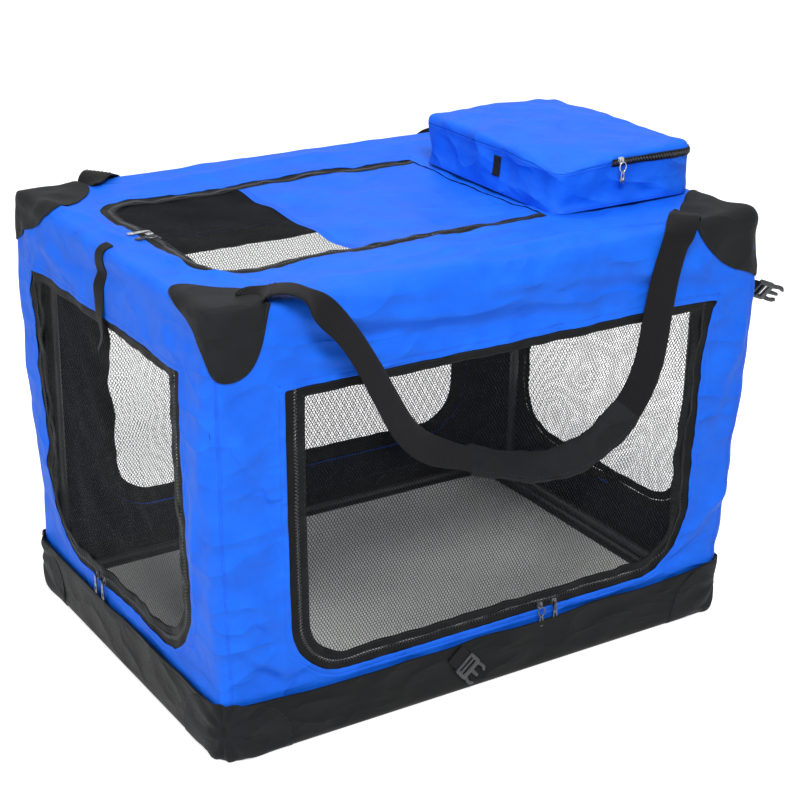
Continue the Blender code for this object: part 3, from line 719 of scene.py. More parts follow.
@dataclass
class Cut:
    """Grids of cloth gathered for one piece."""

    points: list[Points] = field(default_factory=list)
    places: list[Points] = field(default_factory=list)
    faces: list[list[int]] = field(default_factory=list)
    size: int = 0

    def grid(self, points: Points, places: Points) -> None:
        """Add a grid.

        Args:
            points: Rows by columns of points.
            places: Where each lies on the flat cloth, in metres.
        """
        at = np.arange(points.shape[0] * points.shape[1]).reshape(points.shape[:2]) + self.size
        quads = np.stack([at[:-1, :-1], at[:-1, 1:], at[1:, 1:], at[1:, :-1]], -1)
        self.faces += quads.reshape(-1, 4).tolist()
        self.points.append(points.reshape(-1, 3))
        self.places.append(np.broadcast_to(places, (*points.shape[:2], 2)).reshape(-1, 2))
        self.size += at.size

    def cap(self, corners: list[int]) -> None:
        """Close an end with one face, its corners counted from the last grid's start."""
        start = self.size - len(self.points[-1])
        self.faces.append([start + k for k in corners])

    def close_ends(self, rows: int, cols: int) -> None:
        """Close both ends of a strip whose last row repeats its first."""
        self.cap([k * cols for k in range(rows)])
        self.cap([k * cols + cols - 1 for k in reversed(range(rows))])

    def make(self, name: str, away_from: Points | None = None) -> Piece:
        """Weld the grids into one mesh.

        Args:
            name: The piece's name.
            away_from: For an open sheet, a point behind it. A closed piece needs none.

        Returns:
            The new object.
        """
        mesh = bpy.data.meshes.new(name)
        mesh.from_pydata(np.vstack(self.points).tolist(), [], self.faces)
        layer = mesh.uv_layers.new(name="UVMap")
        corner = np.zeros(len(mesh.loops), np.int32)
        mesh.loops.foreach_get("vertex_index", corner)
        layer.data.foreach_set("uv", np.vstack(self.places)[corner].astype(np.float32).ravel())
        tidy = open_mesh(mesh)
        if away_from is None:
            bmesh.ops.recalc_face_normals(tidy, faces=tidy.faces)
        else:
            lean = sum(f.normal.dot(f.calc_center_median() - Vector(away_from)) * f.calc_area()
                       for f in tidy.faces)
            if lean < 0:
                bmesh.ops.reverse_faces(tidy, faces=tidy.faces)
        tidy.to_mesh(mesh)
        tidy.free()
        mesh.shade_smooth()
        piece = bpy.data.objects.new(name, mesh)
        bpy.context.scene.collection.objects.link(piece)
        return piece


def lay(name: str, points: Points, places: Points, away_from: Points | None = None) -> Piece:
    """Make one grid of cloth into a piece, from what Cut.grid and Cut.make take."""
    cut = Cut()
    cut.grid(points, places)
    return cut.make(name, away_from)


def open_mesh(mesh: bpy.types.Mesh) -> bmesh.types.BMesh:
    """Open a mesh for editing, with its doubled points welded."""
    tidy = bmesh.new()
    tidy.from_mesh(mesh)
    bmesh.ops.remove_doubles(tidy, verts=tidy.verts, dist=0.01 * MM)
    loose = [f for f in tidy.faces if f.calc_area() < 1e-12]
    bmesh.ops.delete(tidy, geom=loose, context="FACES")
    return tidy


def finish_piece(piece: Piece, finish: Finish, slot: str, body: str, *nodes: str, smoothing: int = 0,
                 thick: float = 0.0, bend: tuple[Points, Points] | None = None) -> Piece:
    """Give a piece its material, thickness, body and the nodes it stands for.

    Args:
        piece: The piece.
        finish: Its finish.
        slot: Not used.
        body: The CAD body that it moves with.
        *nodes: CAD nodes that it replaces.
        smoothing: Subdivision levels.
        thick: Thickness added behind an open sheet.
        bend: If given, the piece is not put on its body and only has its transform baked in; its points are
            not used.

    Returns:
        The piece.
    """
    piece.data.materials.append(finish.material())
    if thick:
        solid = piece.modifiers.new("thickness", "SOLIDIFY")
        solid.thickness = thick
        solid.offset = -1.0
    if smoothing:
        subdivided = piece.modifiers.new("smoothing", "SUBSURF")
        subdivided.levels = subdivided.render_levels = smoothing
    if bend:
        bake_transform(piece)
    else:
        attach(piece, body)
    if nodes:
        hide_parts(*nodes)
    log.info("%s rides %s, %d faces", piece.name, body, len(piece.data.polygons))
    return piece


def scatter(name: str, shape: Points, faces: Faces, centres: Points, along: Points, out: Points) -> Piece:
    """Repeat one small closed shape, such as a stitch.

    Args:
        name: The piece's name.
        shape: The shape's points: along, across and out.
        faces: The shape's faces.
        centres: Where each copy goes.
        along: Which way each lies.
        out: Which way each faces.

    Returns:
        One object with all the copies.
    """
    along = unit(along)
    across = unit(np.cross(out, along))
    axes = np.stack([along, across, np.cross(along, across)], 1)
    points = centres[:, None, :] + np.einsum("pk,nkc->npc", shape, axes)
    steps = (np.arange(len(centres)) * len(shape))[:, None]
    all_faces = [(np.array(f)[None, :] + steps).tolist() for f in faces]
    places = np.tile(shape[:, :2], (len(centres), 1))
    return Cut([points.reshape(-1, 3)], [places], sum(all_faces, []), points.size // 3).make(name)


STITCH_POINTS = np.array([(-1, 0, 0), (-0.6, -1, 0), (-0.6, 0, 1), (-0.6, 1, 0), (0.6, -1, 0), (0.6, 0, 1),
                          (0.6, 1, 0), (1, 0, 0)]) * np.array([1.45, 0.36, 0.42]) * MM
STITCH_FACES = [(0, 2, 1), (0, 3, 2), (0, 1, 3), (1, 2, 5, 4), (2, 3, 6, 5), (1, 4, 6, 3), (7, 4, 5),
                (7, 5, 6), (7, 6, 4)]
STITCH_PITCH = 3.8 * MM


def sew(name: str, lines: list[tuple[Points, Points]], finish: Finish, slot: str, body: str) -> Piece:
    """Sew rows of stitches.

    Args:
        name: The piece's name.
        lines: Each row's points and the cloth's outward normals there.
        finish: The thread.
        slot: Not used; it is passed to finish_piece, which ignores it.
        body: The CAD body that the stitches ride on.

    Returns:
        The stitches as one object.
    """
    centres, along, out = [], [], []
    for points, normals in lines:
        count = max(int(lengths(points)[-1] / STITCH_PITCH), 3)
        both = evenly(np.hstack([points, normals]), count)
        centres.append(both[:, :3])
        out.append(both[:, 3:])
        along.append(np.gradient(both[:, :3], axis=0))
    piece = scatter(name, STITCH_POINTS, STITCH_FACES, *(np.vstack(k) for k in (centres, along, out)))
    return finish_piece(piece, finish, slot, body)


def sweep(path: Points, across: Points, section: Points, name: str) -> Piece:
    """Run a closed section along a path and cap its ends.

    Args:
        path: Points along the middle.
        across: The section's first axis at each point.
        section: The outline: across, and out.
        name: The piece's name.

    Returns:
        The closed piece.
    """
    ahead = np.gradient(path, axis=0)
    out = unit(np.cross(ahead, across))
    across = unit(np.cross(out, ahead))
    if section.ndim == 2:
        section = np.broadcast_to(section, (len(path), *section.shape))
    ring = np.concatenate([section, section[:, :1]], axis=1)
    points = path[:, None] + ring[..., :1] * across[:, None] + ring[..., 1:] * out[:, None]
    round_it = np.stack([lengths(r) for r in ring])
    places = np.stack(np.broadcast_arrays(lengths(path)[:, None], round_it), -1)
    cut = Cut()
    cut.grid(points, places)
    sides, rows = ring.shape[1], len(path)
    cut.cap(list(range(sides - 1)))
    cut.cap([(rows - 1) * sides + k for k in reversed(range(sides - 1))])
    return cut.make(name)


def pill(width: float, thick: float, steps: int = 5, square: float = 0.5) -> Points:
    """Outline a flat strip with rounded edges.

    Args:
        width: Its width.
        thick: Its thickness.
        steps: Points in each quarter.
        square: The power of a superellipse, lower for squarer corners.

    Returns:
        The outline's points.
    """
    turn = np.linspace(0, 2 * math.pi, 4 * steps, endpoint=False) + math.pi / (4 * steps)
    return np.stack([np.sign(c) * np.abs(c) ** square * size / 2
                     for c, size in ((np.cos(turn), width), (np.sin(turn), thick))], 1)


FRONT_WINDOW = Opening(Face.FRONT, 0.0125, 0.2745, 0.076, 0.422, 0.070)
BACK_WINDOW = Opening(Face.BACK, -0.016, 0.278, 0.076, 0.422, 0.070)
LEFT_WINDOW = Opening(Face.LEFT, 0.0, 0.190, 0.085, 0.440, 0.085)
RIGHT_WINDOW = Opening(Face.RIGHT, 0.0, 0.190, 0.085, 0.440, 0.085)
TOP_WINDOW = Opening(Face.TOP, 0.0, 0.147, -0.300, 0.128, 0.050)
WINDOWS = {w.face: w for w in (FRONT_WINDOW, BACK_WINDOW, LEFT_WINDOW, RIGHT_WINDOW, TOP_WINDOW)}
COVER_NODES = ("front_wall", "back_wall", "left_wall", "right_wall", "top_panel")
TAPE_WIDE = 10.0 * MM
HINGE_GAP = 0.2 * MM
HINGE_TUCK = -0.4 * MM
STRIP_STEP = 4 * MM
CRATE_MIDDLE = (0.0, 0.0, 0.26)
POCKET_MIDDLE = (0.241, -0.0135, 0.55)


# Each main fold's start and end, its height and its width, in millimetres
MAIN_FOLDS = (
    (-285, -250, 502, 30, -250, 452, 3.2, 14), (-230, -250, 470, 120, -250, 437, -2.4, 12),
    (-60, -250, 500, 270, -250, 462, 2.6, 13), (60, -250, 478, 300, -250, 440, -1.8, 10),
    (-300, -205, 520, 0, -250, 512, 2, 12), (-90, -230, 520, 230, -215, 520, 2.2, 10),
    (20, -190, 520, 330, -226, 520, -1.8, 11), (-345, -250, 455, -288, -250, 330, 1.5, 9),
    (-340, -250, 260, -275, -250, 130, 1.4, 10), (-338, -250, 150, -250, -250, 78, 1.8, 8),
    (-320, -250, 110, -235, -250, 70, -1.6, 6), (-290, -250, 116, -262, -250, 73, 1.5, 5),
    (345, -250, 180, 270, -250, 80, 1.8, 9), (335, -250, 110, 250, -250, 72, -1.5, 7),
    (330, -250, 420, 302, -250, 230, 1.4, 10), (-350, -225, 470, -350, -120, 452, 1.8, 11),
    (-350, -238, 400, -350, -200, 200, 1.2, 11), (-350, 230, 490, -350, 60, 462, 1.8, 12),
    (-350, 225, 250, -350, 140, 95, 1.6, 10), (-350, -200, 150, -350, -130, 80, 1.6, 9),
    (-330, 100, 520, -300, -120, 520, 1.4, 10), (240, -250, 500, 342, -250, 330, 1.8, 11),
    (-250, 190, 520, 100, 205, 520, 1.8, 12), (150, 210, 520, 320, 170, 520, 1.6, 11),
    (-200, -250, 511, 60, -250, 478, 1.8, 6), (-110, -250, 487, 140, -250, 449, 1.7, 6),
    (20, -250, 508, 225, -250, 487, 1.6, 7), (-262, -250, 452, -60, -250, 432, 1.5, 6),
    (105, -250, 505, 215, -250, 440, -1.6, 8), (-335, -250, 395, -272, -250, 290, 1.5, 6),
    (-300, -250, 350, -270, -250, 200, -1.4, 6), (-345, -250, 215, -290, -250, 92, 1.6, 6),
    (-318, -250, 180, -268, -250, 98, -1.2, 5), (-350, -100, 505, -350, 120, 470, -1.6, 8),
    (-350, 150, 500, -350, 205, 380, 1.4, 7), (-350, -215, 330, -350, -195, 160, 1.2, 6),
    (-340, 205, 520, -305, 10, 520, 1.6, 8), (-318, -60, 520, -240, -215, 520, 1.5, 8),
    (-140, -205, 520, 90, -185, 520, 1.5, 7), (-50, -238, 520, 180, -240, 520, -1.5, 7),
)


@dataclass
class Cover:
    """The blue cover: one sewn bag of five panels over the frame, with a window left open in each."""

    shell: Shell = Shell(0.350, 0.250, 0.520, 0.020, 0.013, spread=(0.029, 0.020), column=(
        (0.06, 0), (0.10, 7), (0.16, 11), (0.24, 13), (0.32, 15), (0.39, 16), (0.46, 12), (0.52, 7)))
    tucked: float = 0.034
    cloth: float = 0.9 * MM
    # How far the dark painted-shade sheet lies under the cloth
    painted_shade_gap: float = 2.6 * MM
    hem: float = 9.0 * MM
    hem_stitch: float = 6.5 * MM
    hem_rings: tuple[float, ...] = (0.0, 1.2, 3.6, 5.2, 6.5, 7.8, 9.4, 12.0)
    rings: tuple[int, int] = (22, 12)
    seam_gaps: tuple[float, float] = (10 * MM, 13 * MM)
    step: float = 6.0 * MM
    broad: Waves = Waves(0.190, 1.4 * MM, 11)
    middling: Waves = Waves(0.062, 0.7 * MM, 12)
    fine: Waves = Waves(0.024, 0.26 * MM, 13)
    crease: float = 2.8
    pucker: Waves = Waves(0.017, 0.32 * MM, 14)
    folds: tuple[Fold, ...] = tuple(Fold(*np.array((row[:3], row[3:6])) * MM, row[6] * MM, row[7] * MM)
                                    for row in MAIN_FOLDS)

    def slack(self, sharp: Points) -> Points:
        """How far the cloth stands off the plain box, without its hems."""
        x, y, z = np.moveaxis(sharp, -1, 0)
        side = np.minimum(self.shell.half_x - np.abs(x), self.shell.half_y - np.abs(y))
        from_edge = np.maximum(side, self.shell.level - z)
        lift = self.broad.at(sharp) + self.middling.at(sharp) + self.fine.at(sharp)
        lift = lift * (0.35 + 0.65 * smooth(from_edge / 0.055)) - 0.4 * MM
        for fold in self.folds:
            lift = lift + self.crease * fold.at(sharp)
        on_top = smooth((z - self.shell.level + 1 * MM) / MM)
        lift = lift - on_top * 3.0 * MM * smooth((side - 0.03) / 0.12)
        walls_in = smooth((self.shell.level - z) / 0.2) * (1 - on_top)
        lift = lift - walls_in * 1.0 * MM
        tuck = smooth((0.086 - z) / 0.014)
        return lift * (1 - tuck) - tuck * 0.9 * MM

    def lift(self, face: Face, u: Points, v: Points) -> Points:
        """How far the cloth stands off, with the hem round the window."""
        sharp = self.shell.at(face, u, v)
        away = WINDOWS[face].outside(u, v)
        hem = 0.8 * MM * (1 - smooth((away - self.hem) / (2 * MM)))
        seam = -0.85 * MM * np.exp(-((away - self.hem_stitch) / (1.2 * MM)) ** 2)
        return self.slack(sharp) + hem + seam + self.pucker.at(sharp) * np.exp(-away / (14 * MM))

    def panels(self, insets: tuple[float, ...], counts: tuple[int, int], under: float | None = None) -> Cut:
        """Cut the five panels, each in rings from its window out to its edges.

        Args:
            insets: The first rings, in millimetres outside the window.
            counts: Rings from there to the edges, on the top and on the sides.
            under: How far under the cloth they lie. If not given, they are the cloth itself.

        Returns:
            The panels, sharing their edges.
        """
        shell, cut = self.shell, Cut()
        tall = round((shell.level - self.tucked) / self.step)
        along, deep = round(2 * shell.half_x / self.step), round(2 * shell.half_y / self.step)
        for face, window in WINDOWS.items():
            on_top = face is Face.TOP
            half = shell.half_y if on_top or face in (Face.LEFT, Face.RIGHT) else shell.half_x
            low, high = (-shell.half_x, shell.half_x) if on_top else (self.tucked, shell.level)
            across = deep if half == shell.half_y else along
            up = along if on_top else tall
            corners = [(-half, high), (-half, low), (half, low), (half, high), (-half, high)]
            spans = zip(corners, corners[1:], (up, across, up, across))
            outer = np.vstack([evenly(np.array([a, b]), n + 1)[:-1] for a, b, n in spans] + [[corners[0]]])
            rings = [window.loop(-k * MM, across, up) for k in insets]
            count = counts[0] if on_top else counts[1]
            rings += [rings[-1] + (outer - rings[-1]) * (k / count) for k in range(1, count + 1)]
            uv = np.stack(rings)
            sharp = shell.at(face, uv[..., 0], uv[..., 1])
            lift = self.lift(face, uv[..., 0], uv[..., 1]) if under is None else self.slack(sharp) - under
            cut.grid(shell.place(sharp, lift), uv)
        return cut

    def build(self) -> None:
        """Sew the five panels and a dark navy sheet under them, which is painted shade for the inside, then
        the hems.
        """
        piece = self.panels(self.hem_rings, self.rings).make("cover", CRATE_MIDDLE)
        finish_piece(piece, BLUE, "blue_cloth", "crate", *COVER_NODES, smoothing=1, thick=self.cloth)
        # The dark sheet under the cloth is painted shade for the inside seen through the nets.
        shade_sheet = self.panels((4.0, 12.0), self.rings, self.painted_shade_gap).make("cover_painted_shade", CRATE_MIDDLE)
        finish_piece(shade_sheet, PAINTED_SHADE_CLOTH, "black_cloth", "crate", thick=0.5 * MM)
        self.sew_hems()

    def sew_hems(self) -> None:
        """Stitch the window hems, and the seams at the four corners."""
        lines = []
        for face, window in WINDOWS.items():
            loop = window.loop(-self.hem_stitch, 120, 90)
            sharp = self.shell.at(face, loop[:, 0], loop[:, 1])
            lines.append(self.shell.row(sharp, self.lift(face, loop[:, 0], loop[:, 1])))
        for face in (Face.FRONT, Face.BACK):
            for sign in (-1, 1):
                for gap in self.seam_gaps:
                    v = np.linspace(0.072, self.shell.level - 0.055, 120)
                    u = np.full(v.shape, sign * (self.shell.half_x - gap))
                    sharp = self.shell.at(face, u, v)
                    lines.append(self.shell.row(sharp, self.lift(face, u, v)))
        sew("cover_stitches", lines, BLUE_THREAD, "blue_cloth", "crate")


def strip(cover: Cover, window: Opening, outline: Outline, three_sides: bool, waver: Waves,
          top: float = 0.0) -> Cut:
    """Run a soft strip round a window.

    Args:
        cover: The cover whose surface it follows.
        window: The window.
        outline: The inset and the lift of each point of its section, in millimetres.
        three_sides: Whether it leaves out the high side.
        waver: How it ripples along its length.
        top: What is taken off each inset on the high side.

    Returns:
        The strip's cut.
    """
    section = [(a * MM, b * MM) for a, b in outline]
    across = round(2 * window.half / STRIP_STEP)
    up = round((window.high - window.low) / STRIP_STEP)
    rows = section + section[:1]
    middle = sum(k for k, _ in section) / len(section)
    grid = []
    for inset, lift in rows:
        uv = window.loop(inset, across, up, HINGE_TUCK if three_sides else inset - top)
        if three_sides:
            uv = uv[:2 * up + across + 1]
        sharp = cover.shell.at(window.face, uv[:, 0], uv[:, 1])
        ripple = waver.at(sharp) * (1 if inset >= middle else 0.4)
        grid.append(cover.shell.place(sharp, cover.slack(sharp) + lift + ripple))
    places = np.broadcast_arrays(lengths(grid[0])[None, :], lengths(np.array(rows))[:, None])
    cut = Cut()
    cut.grid(np.stack(grid), np.stack(places, -1))
    if three_sides:
        cut.close_ends(len(section), len(grid[0]))
    return cut


TOOTH = np.array([(x, y, 0.75 * z) for x in (-0.5, 0.5) for y in (-1, 1) for z in (0, 1)])
TOOTH_FACES = [(0, 1, 3, 2), (4, 6, 7, 5), (0, 4, 5, 1), (2, 3, 7, 6), (1, 5, 7, 3), (0, 2, 6, 4)]


def lay_coil(name: str, lines: list[tuple[Points, Points]], tooth: Spot) -> None:
    """Set a zip's teeth along its two sides.

    Args:
        name: The piece's name.
        lines: Each side's places and the cloth's outward normals there.
        tooth: The size of one tooth: along, across and out.
    """
    rows = [(points, np.gradient(points, axis=0), normals) for points, normals in lines]
    piece = scatter(name, TOOTH * np.array(tooth), TOOTH_FACES, *(np.vstack(k) for k in zip(*rows)))
    finish_piece(piece, TEETH, "black_plastic", "crate")


@dataclass
class ZipRun:
    """A zip round a window: the tape sewn under the hem, and the coil at its free edge."""

    cover: Cover
    window: Opening
    pitch: float = 2.0 * MM
    tooth: Spot = (1.5 * MM, 1.9 * MM, 1.3 * MM)
    apart: float = 0.8 * MM
    sunk: float = 0.5 * MM
    steps: tuple[int, int] = (200, 140)
    ripple: Waves = Waves(0.034, 0.5 * MM, 31)

    def build(self) -> None:
        """Make the tape and the coil."""
        side = self.window.face.name.lower()
        section = [(-6.0, -0.9), (0.0, -0.5), (3.0, -0.3), (8.6, -0.2), (9.9, -0.4), (9.9, -1.1), (3.0, -1.2),
                   (-6.0, -1.5)]
        piece = strip(self.cover, self.window, section, True, self.ripple).make(side + "_zip_tape_cloth")
        finish_piece(piece, TAPE, "black_cloth", "crate", side + "_zip_tape")
        self.coil(side)

    def coil(self, side: str) -> None:
        """Lay the coil's teeth from both sides in turn."""
        lines, shell, (across, up) = [], self.cover.shell, self.steps
        for first, sign in ((0, -1), (1, 1)):
            uv = self.window.loop(TAPE_WIDE + sign * self.apart, across, up, 0.0)[:2 * up + across + 1]
            uv = evenly(uv, int(lengths(uv)[-1] / self.pitch))[first::2]
            sharp = shell.at(self.window.face, uv[:, 0], uv[:, 1])
            lines.append(shell.row(sharp, self.cover.slack(sharp) + self.ripple.at(sharp) - self.sunk))
        lay_coil(side + "_zip_coil", lines, self.tooth)


@dataclass
class MeshPane:
    """A net with a soft binding round it: a door that swings, or the fixed back window."""

    cover: Cover
    window: Opening
    label: str
    body: str
    edge_node: str | None
    net_node: str
    outer: float = 10.6 * MM
    inner: float = 22.0 * MM
    top: float = 10.9 * MM
    sag: Waves = Waves(0.110, 1.5 * MM, 41)
    ripple: Waves = Waves(0.034, 0.7 * MM, 42)
    bulge: float = -2.5 * MM
    steps: tuple[int, int] = (110, 80)

    def build(self) -> None:
        """Make the binding, its stitches and the net."""
        o, i = self.outer / MM, self.inner / MM
        section = [(o, -1.3), (o, -0.2), (o + 2, 0.3), ((o + i) / 2, 0.5), (i - 2.5, 0.3), (i, -0.4),
                   (i, -1.4), ((o + i) / 2, -2.2)]
        cut = strip(self.cover, self.window, section, False, self.ripple, self.top)
        piece = cut.make(self.label + "_edge")
        nodes = [self.edge_node] if self.edge_node else []
        finish_piece(piece, BAND, "black_cloth", self.body, *nodes, smoothing=1)
        lines = []
        for inset in (self.outer + 1.8 * MM, self.inner - 2.2 * MM):
            uv = self.window.loop(inset, *self.steps, inset - self.top)
            sharp = self.cover.shell.at(self.window.face, uv[:, 0], uv[:, 1])
            lift = self.cover.slack(sharp) + 0.35 * MM + self.ripple.at(sharp)
            lines.append(self.cover.shell.row(sharp, lift))
        sew(self.label + "_stitches", lines, BLACK_THREAD, "black_cloth", self.body)
        self.net()

    def net(self) -> None:
        """Hang the net a little slack inside its binding."""
        shell, edge = self.cover.shell, self.inner - 3 * MM
        uv = self.window.pane(edge, edge, edge - self.top, 8 * MM)
        u, v = uv[..., 0], uv[..., 1]
        away = np.clip(-self.window.outside(u, v) - edge, 0, None)
        sharp = shell.at(self.window.face, u, v)
        free = smooth(away / 0.05)
        lift = self.cover.slack(sharp) - 0.8 * MM + free * (self.sag.at(sharp) + self.bulge)
        piece = lay(self.label + "_net", shell.place(sharp, lift), uv, CRATE_MIDDLE)
        finish_piece(piece, NET, "black_mesh", self.body, self.net_node, smoothing=1)


@dataclass
class TopDoor:
    """The top door: net over its left end and blue cloth over the rest, edged with black tape."""

    cover: Cover
    window: Opening = TOP_WINDOW
    net_end: float = -0.115
    edge: float = 10.6 * MM
    wide: float = 6.0 * MM
    cloth: float = 0.8 * MM
    grid: tuple[int, int] = (50, 44)
    across: int = 80
    sag: Waves = Waves(0.090, 2.2 * MM, 51)
    ripple: Waves = Waves(0.030, 0.6 * MM, 52)

    def level(self, sharp: Points, u: Points, v: Points) -> Points:
        """How the door hangs: lower away from its edges."""
        away = np.clip(-self.window.outside(u, v) - self.edge, 0, None)
        return self.cover.slack(sharp) - 1.2 * MM + smooth(away / 0.06) * (self.sag.at(sharp) - 4.0 * MM)

    def build(self) -> None:
        """Make the net, the cloth, their edging and the stitches."""
        window, shell = self.window, self.cover.shell
        half, low_end = window.half - self.edge, window.low + self.edge
        for label, low, high, finish in (("net", low_end + 2 * MM, self.net_end + 4 * MM, NET),
                                         ("cloth", self.net_end - 2 * MM, window.high - HINGE_GAP, BLUE)):
            uv = window.pane(self.edge, low - window.low, window.high - high, 6 * MM)
            if label == "cloth":
                uv = np.stack(np.meshgrid(np.linspace(-half, half, self.grid[0]),
                                          np.linspace(low, high, self.grid[1])), -1)
            sharp = shell.at(window.face, uv[..., 0], uv[..., 1])
            lift = self.level(sharp, uv[..., 0], uv[..., 1])
            if label == "cloth":
                seam = np.exp(-((uv[..., 1] - self.net_end - 4 * MM) / (1.5 * MM)) ** 2)
                lift = lift + 0.9 * MM - 0.5 * MM * seam
            piece = lay("top_door_" + label + "_panel", shell.place(sharp, lift), uv, CRATE_MIDDLE)
            node, slot, thick = (("top_door_mesh", "black_mesh", 0.0) if label == "net"
                                 else ("top_door_cloth", "blue_cloth", self.cloth))
            finish_piece(piece, finish, slot, "top_door", node, smoothing=1, thick=thick)
        e, w = self.edge / MM, self.wide / MM
        section = [(e, -1.4), (e, 0.0), (e + w / 2, 0.5), (e + w, 0.0), (e + w, -1.0), (e + w / 2, -1.8)]
        piece = strip(self.cover, window, section, True, self.ripple).make("top_door_edge")
        finish_piece(piece, BLACK, "black_cloth", "top_door", smoothing=1)
        lines = []
        for v in (self.net_end + 2 * MM, self.net_end + 6 * MM):
            u, v = np.broadcast_arrays(np.linspace(-half, half, self.across), v)
            sharp = shell.at(window.face, u, v)
            lines.append(shell.row(sharp, self.level(sharp, u, v) + self.cloth))
        sew("top_door_stitches", lines, BLUE_THREAD, "blue_cloth", "top_door")


@dataclass
class BaseTray:
    """The black tray: a floor cloth turned up into a stiffened band, with a patch over each corner."""

    shell: Shell = Shell(0.3533, 0.2533, 0.0, 0.031, 0.010, sense=-1)
    height: float = 0.070
    front_dip: float = 6.5 * MM
    cloth: float = 2.4 * MM
    patch_reach: float = 0.088
    patch_high: float = 0.073
    patch_lift: float = 3.2 * MM
    stitch_lift: float = 3.1 * MM
    broad: Waves = Waves(0.120, 1.1 * MM, 61)
    fine: Waves = Waves(0.032, 0.3 * MM, 62)
    brim: Waves = Waves(0.170, 1.3 * MM, 63)
    count: int = 64

    def lift(self, sharp: Points) -> Points:
        """How far the band stands off."""
        calm = smooth(sharp[..., 2] / 0.02)
        return (self.broad.at(sharp) + self.fine.at(sharp)) * calm * 0.7 + 0.2 * MM * calm

    def raise_to(self, sharp: Points) -> Points:
        """Stretch the band so that its brim dips along the front and ripples."""
        x, y, z = np.moveaxis(sharp, -1, 0)
        front = smooth((-self.shell.half_y + 0.03 - y) / 0.03)
        along = np.clip(1 - (x / 0.33) ** 4, 0, 1)
        top = self.height - self.front_dip * front * along + self.brim.at(sharp) * smooth(z / self.height)
        return np.stack([x, y, z * top / self.height], -1)

    def build(self) -> None:
        """Make the tray and its patches."""
        plan, along = self.shell.around(self.count)
        rows, places = [], []
        for z in (70.0, 69.0, 67.2, 65.4, 63.4, 61, 56, 50, 44, 38, 32, 26, 20, 15, 11, 8, 5.5, 3, 1, 0):
            rows.append(np.column_stack([plan, np.full(len(plan), z * MM)]))
            places.append(z * MM)
        for share in (0.006, 0.014, 0.024, 0.04, 0.08):
            rows.append(np.column_stack([plan * (1 - share), np.zeros(len(plan))]))
            places.append(-share * self.shell.half_y)
        sharp = self.raise_to(np.stack(rows))
        seam = -0.5 * MM * np.exp(-((sharp[..., 2] - (self.height - 5 * MM)) / (1.2 * MM)) ** 2)
        cut = Cut()
        cut.grid(self.shell.place(sharp, self.lift(sharp) + seam),
                 np.stack(np.broadcast_arrays(along[None], np.array(places)[:, None]), -1))
        x, y = (np.linspace(plan.min(0)[k], plan.max(0)[k], self.count + 1) * (1 - share) for k in (0, 1))
        x, y = np.meshgrid(x, y)
        floor = np.stack([x, y, np.zeros(x.shape)], -1)
        cut.grid(self.shell.place(floor[:, ::-1], self.lift(floor)), floor[:, ::-1, :2])
        piece = cut.make("base_band", (0, 0, 0.2))
        finish_piece(piece, BAND, "black_cloth", "crate", "base_tray", smoothing=1, thick=self.cloth)
        self.patches()

    def patches(self) -> None:
        """Sew a round patch over each bottom corner, puckered towards its middle."""
        lines = []
        for face in (Face.FRONT, Face.BACK):
            for sign in (-1, 1):
                side = "left" if (sign < 0) == (face is Face.FRONT) else "right"
                label = face.name.lower() + "_" + side
                a = np.linspace(-self.patch_reach, self.patch_reach, 64)
                top = self.patch_high * (1 - np.abs(a / self.patch_reach * 0.999) ** 3) ** (1 / 3)
                share = np.linspace(0, 1, 22)[:, None]
                v = 0.4 * MM + share * (top[None, :] - 0.4 * MM)
                u = sign * (self.shell.half_x + np.broadcast_to(a[None, :], v.shape))
                sharp = self.shell.at(face, u, v)
                way = np.arctan2(v - 0.040, np.broadcast_to(a[None, :], v.shape))
                far = np.hypot(v - 0.040, a[None, :])
                pucker = 1.5 * MM * np.sin(9 * way + 1.3 * sign) * smooth((far - 0.004) / 0.02)
                pucker = pucker * smooth((0.085 - far) / 0.04)
                dimple = -2.2 * MM * np.exp(-(far / 0.007) ** 2)
                rim = 0.5 * MM * smooth((share - 0.93) / 0.05)
                lift = self.lift(sharp) + self.patch_lift + pucker + dimple - rim
                piece = lay(f"base_patch_{label}", self.shell.place(self.raise_to(sharp), lift),
                            np.stack([u, v], -1), (0, 0, 0.1))
                finish_piece(piece, BLACK, "black_cloth", "crate", smoothing=1, thick=1.4 * MM)
                edge = np.stack([u, v], -1)[-2]
                points = self.shell.at(face, edge[:, 0], edge[:, 1])
                lines.append((self.shell.place(self.raise_to(points), self.lift(points) + self.stitch_lift),
                              self.shell.outward(points)))
        sew("base_stitches", lines, BLACK_THREAD, "black_cloth", "crate")


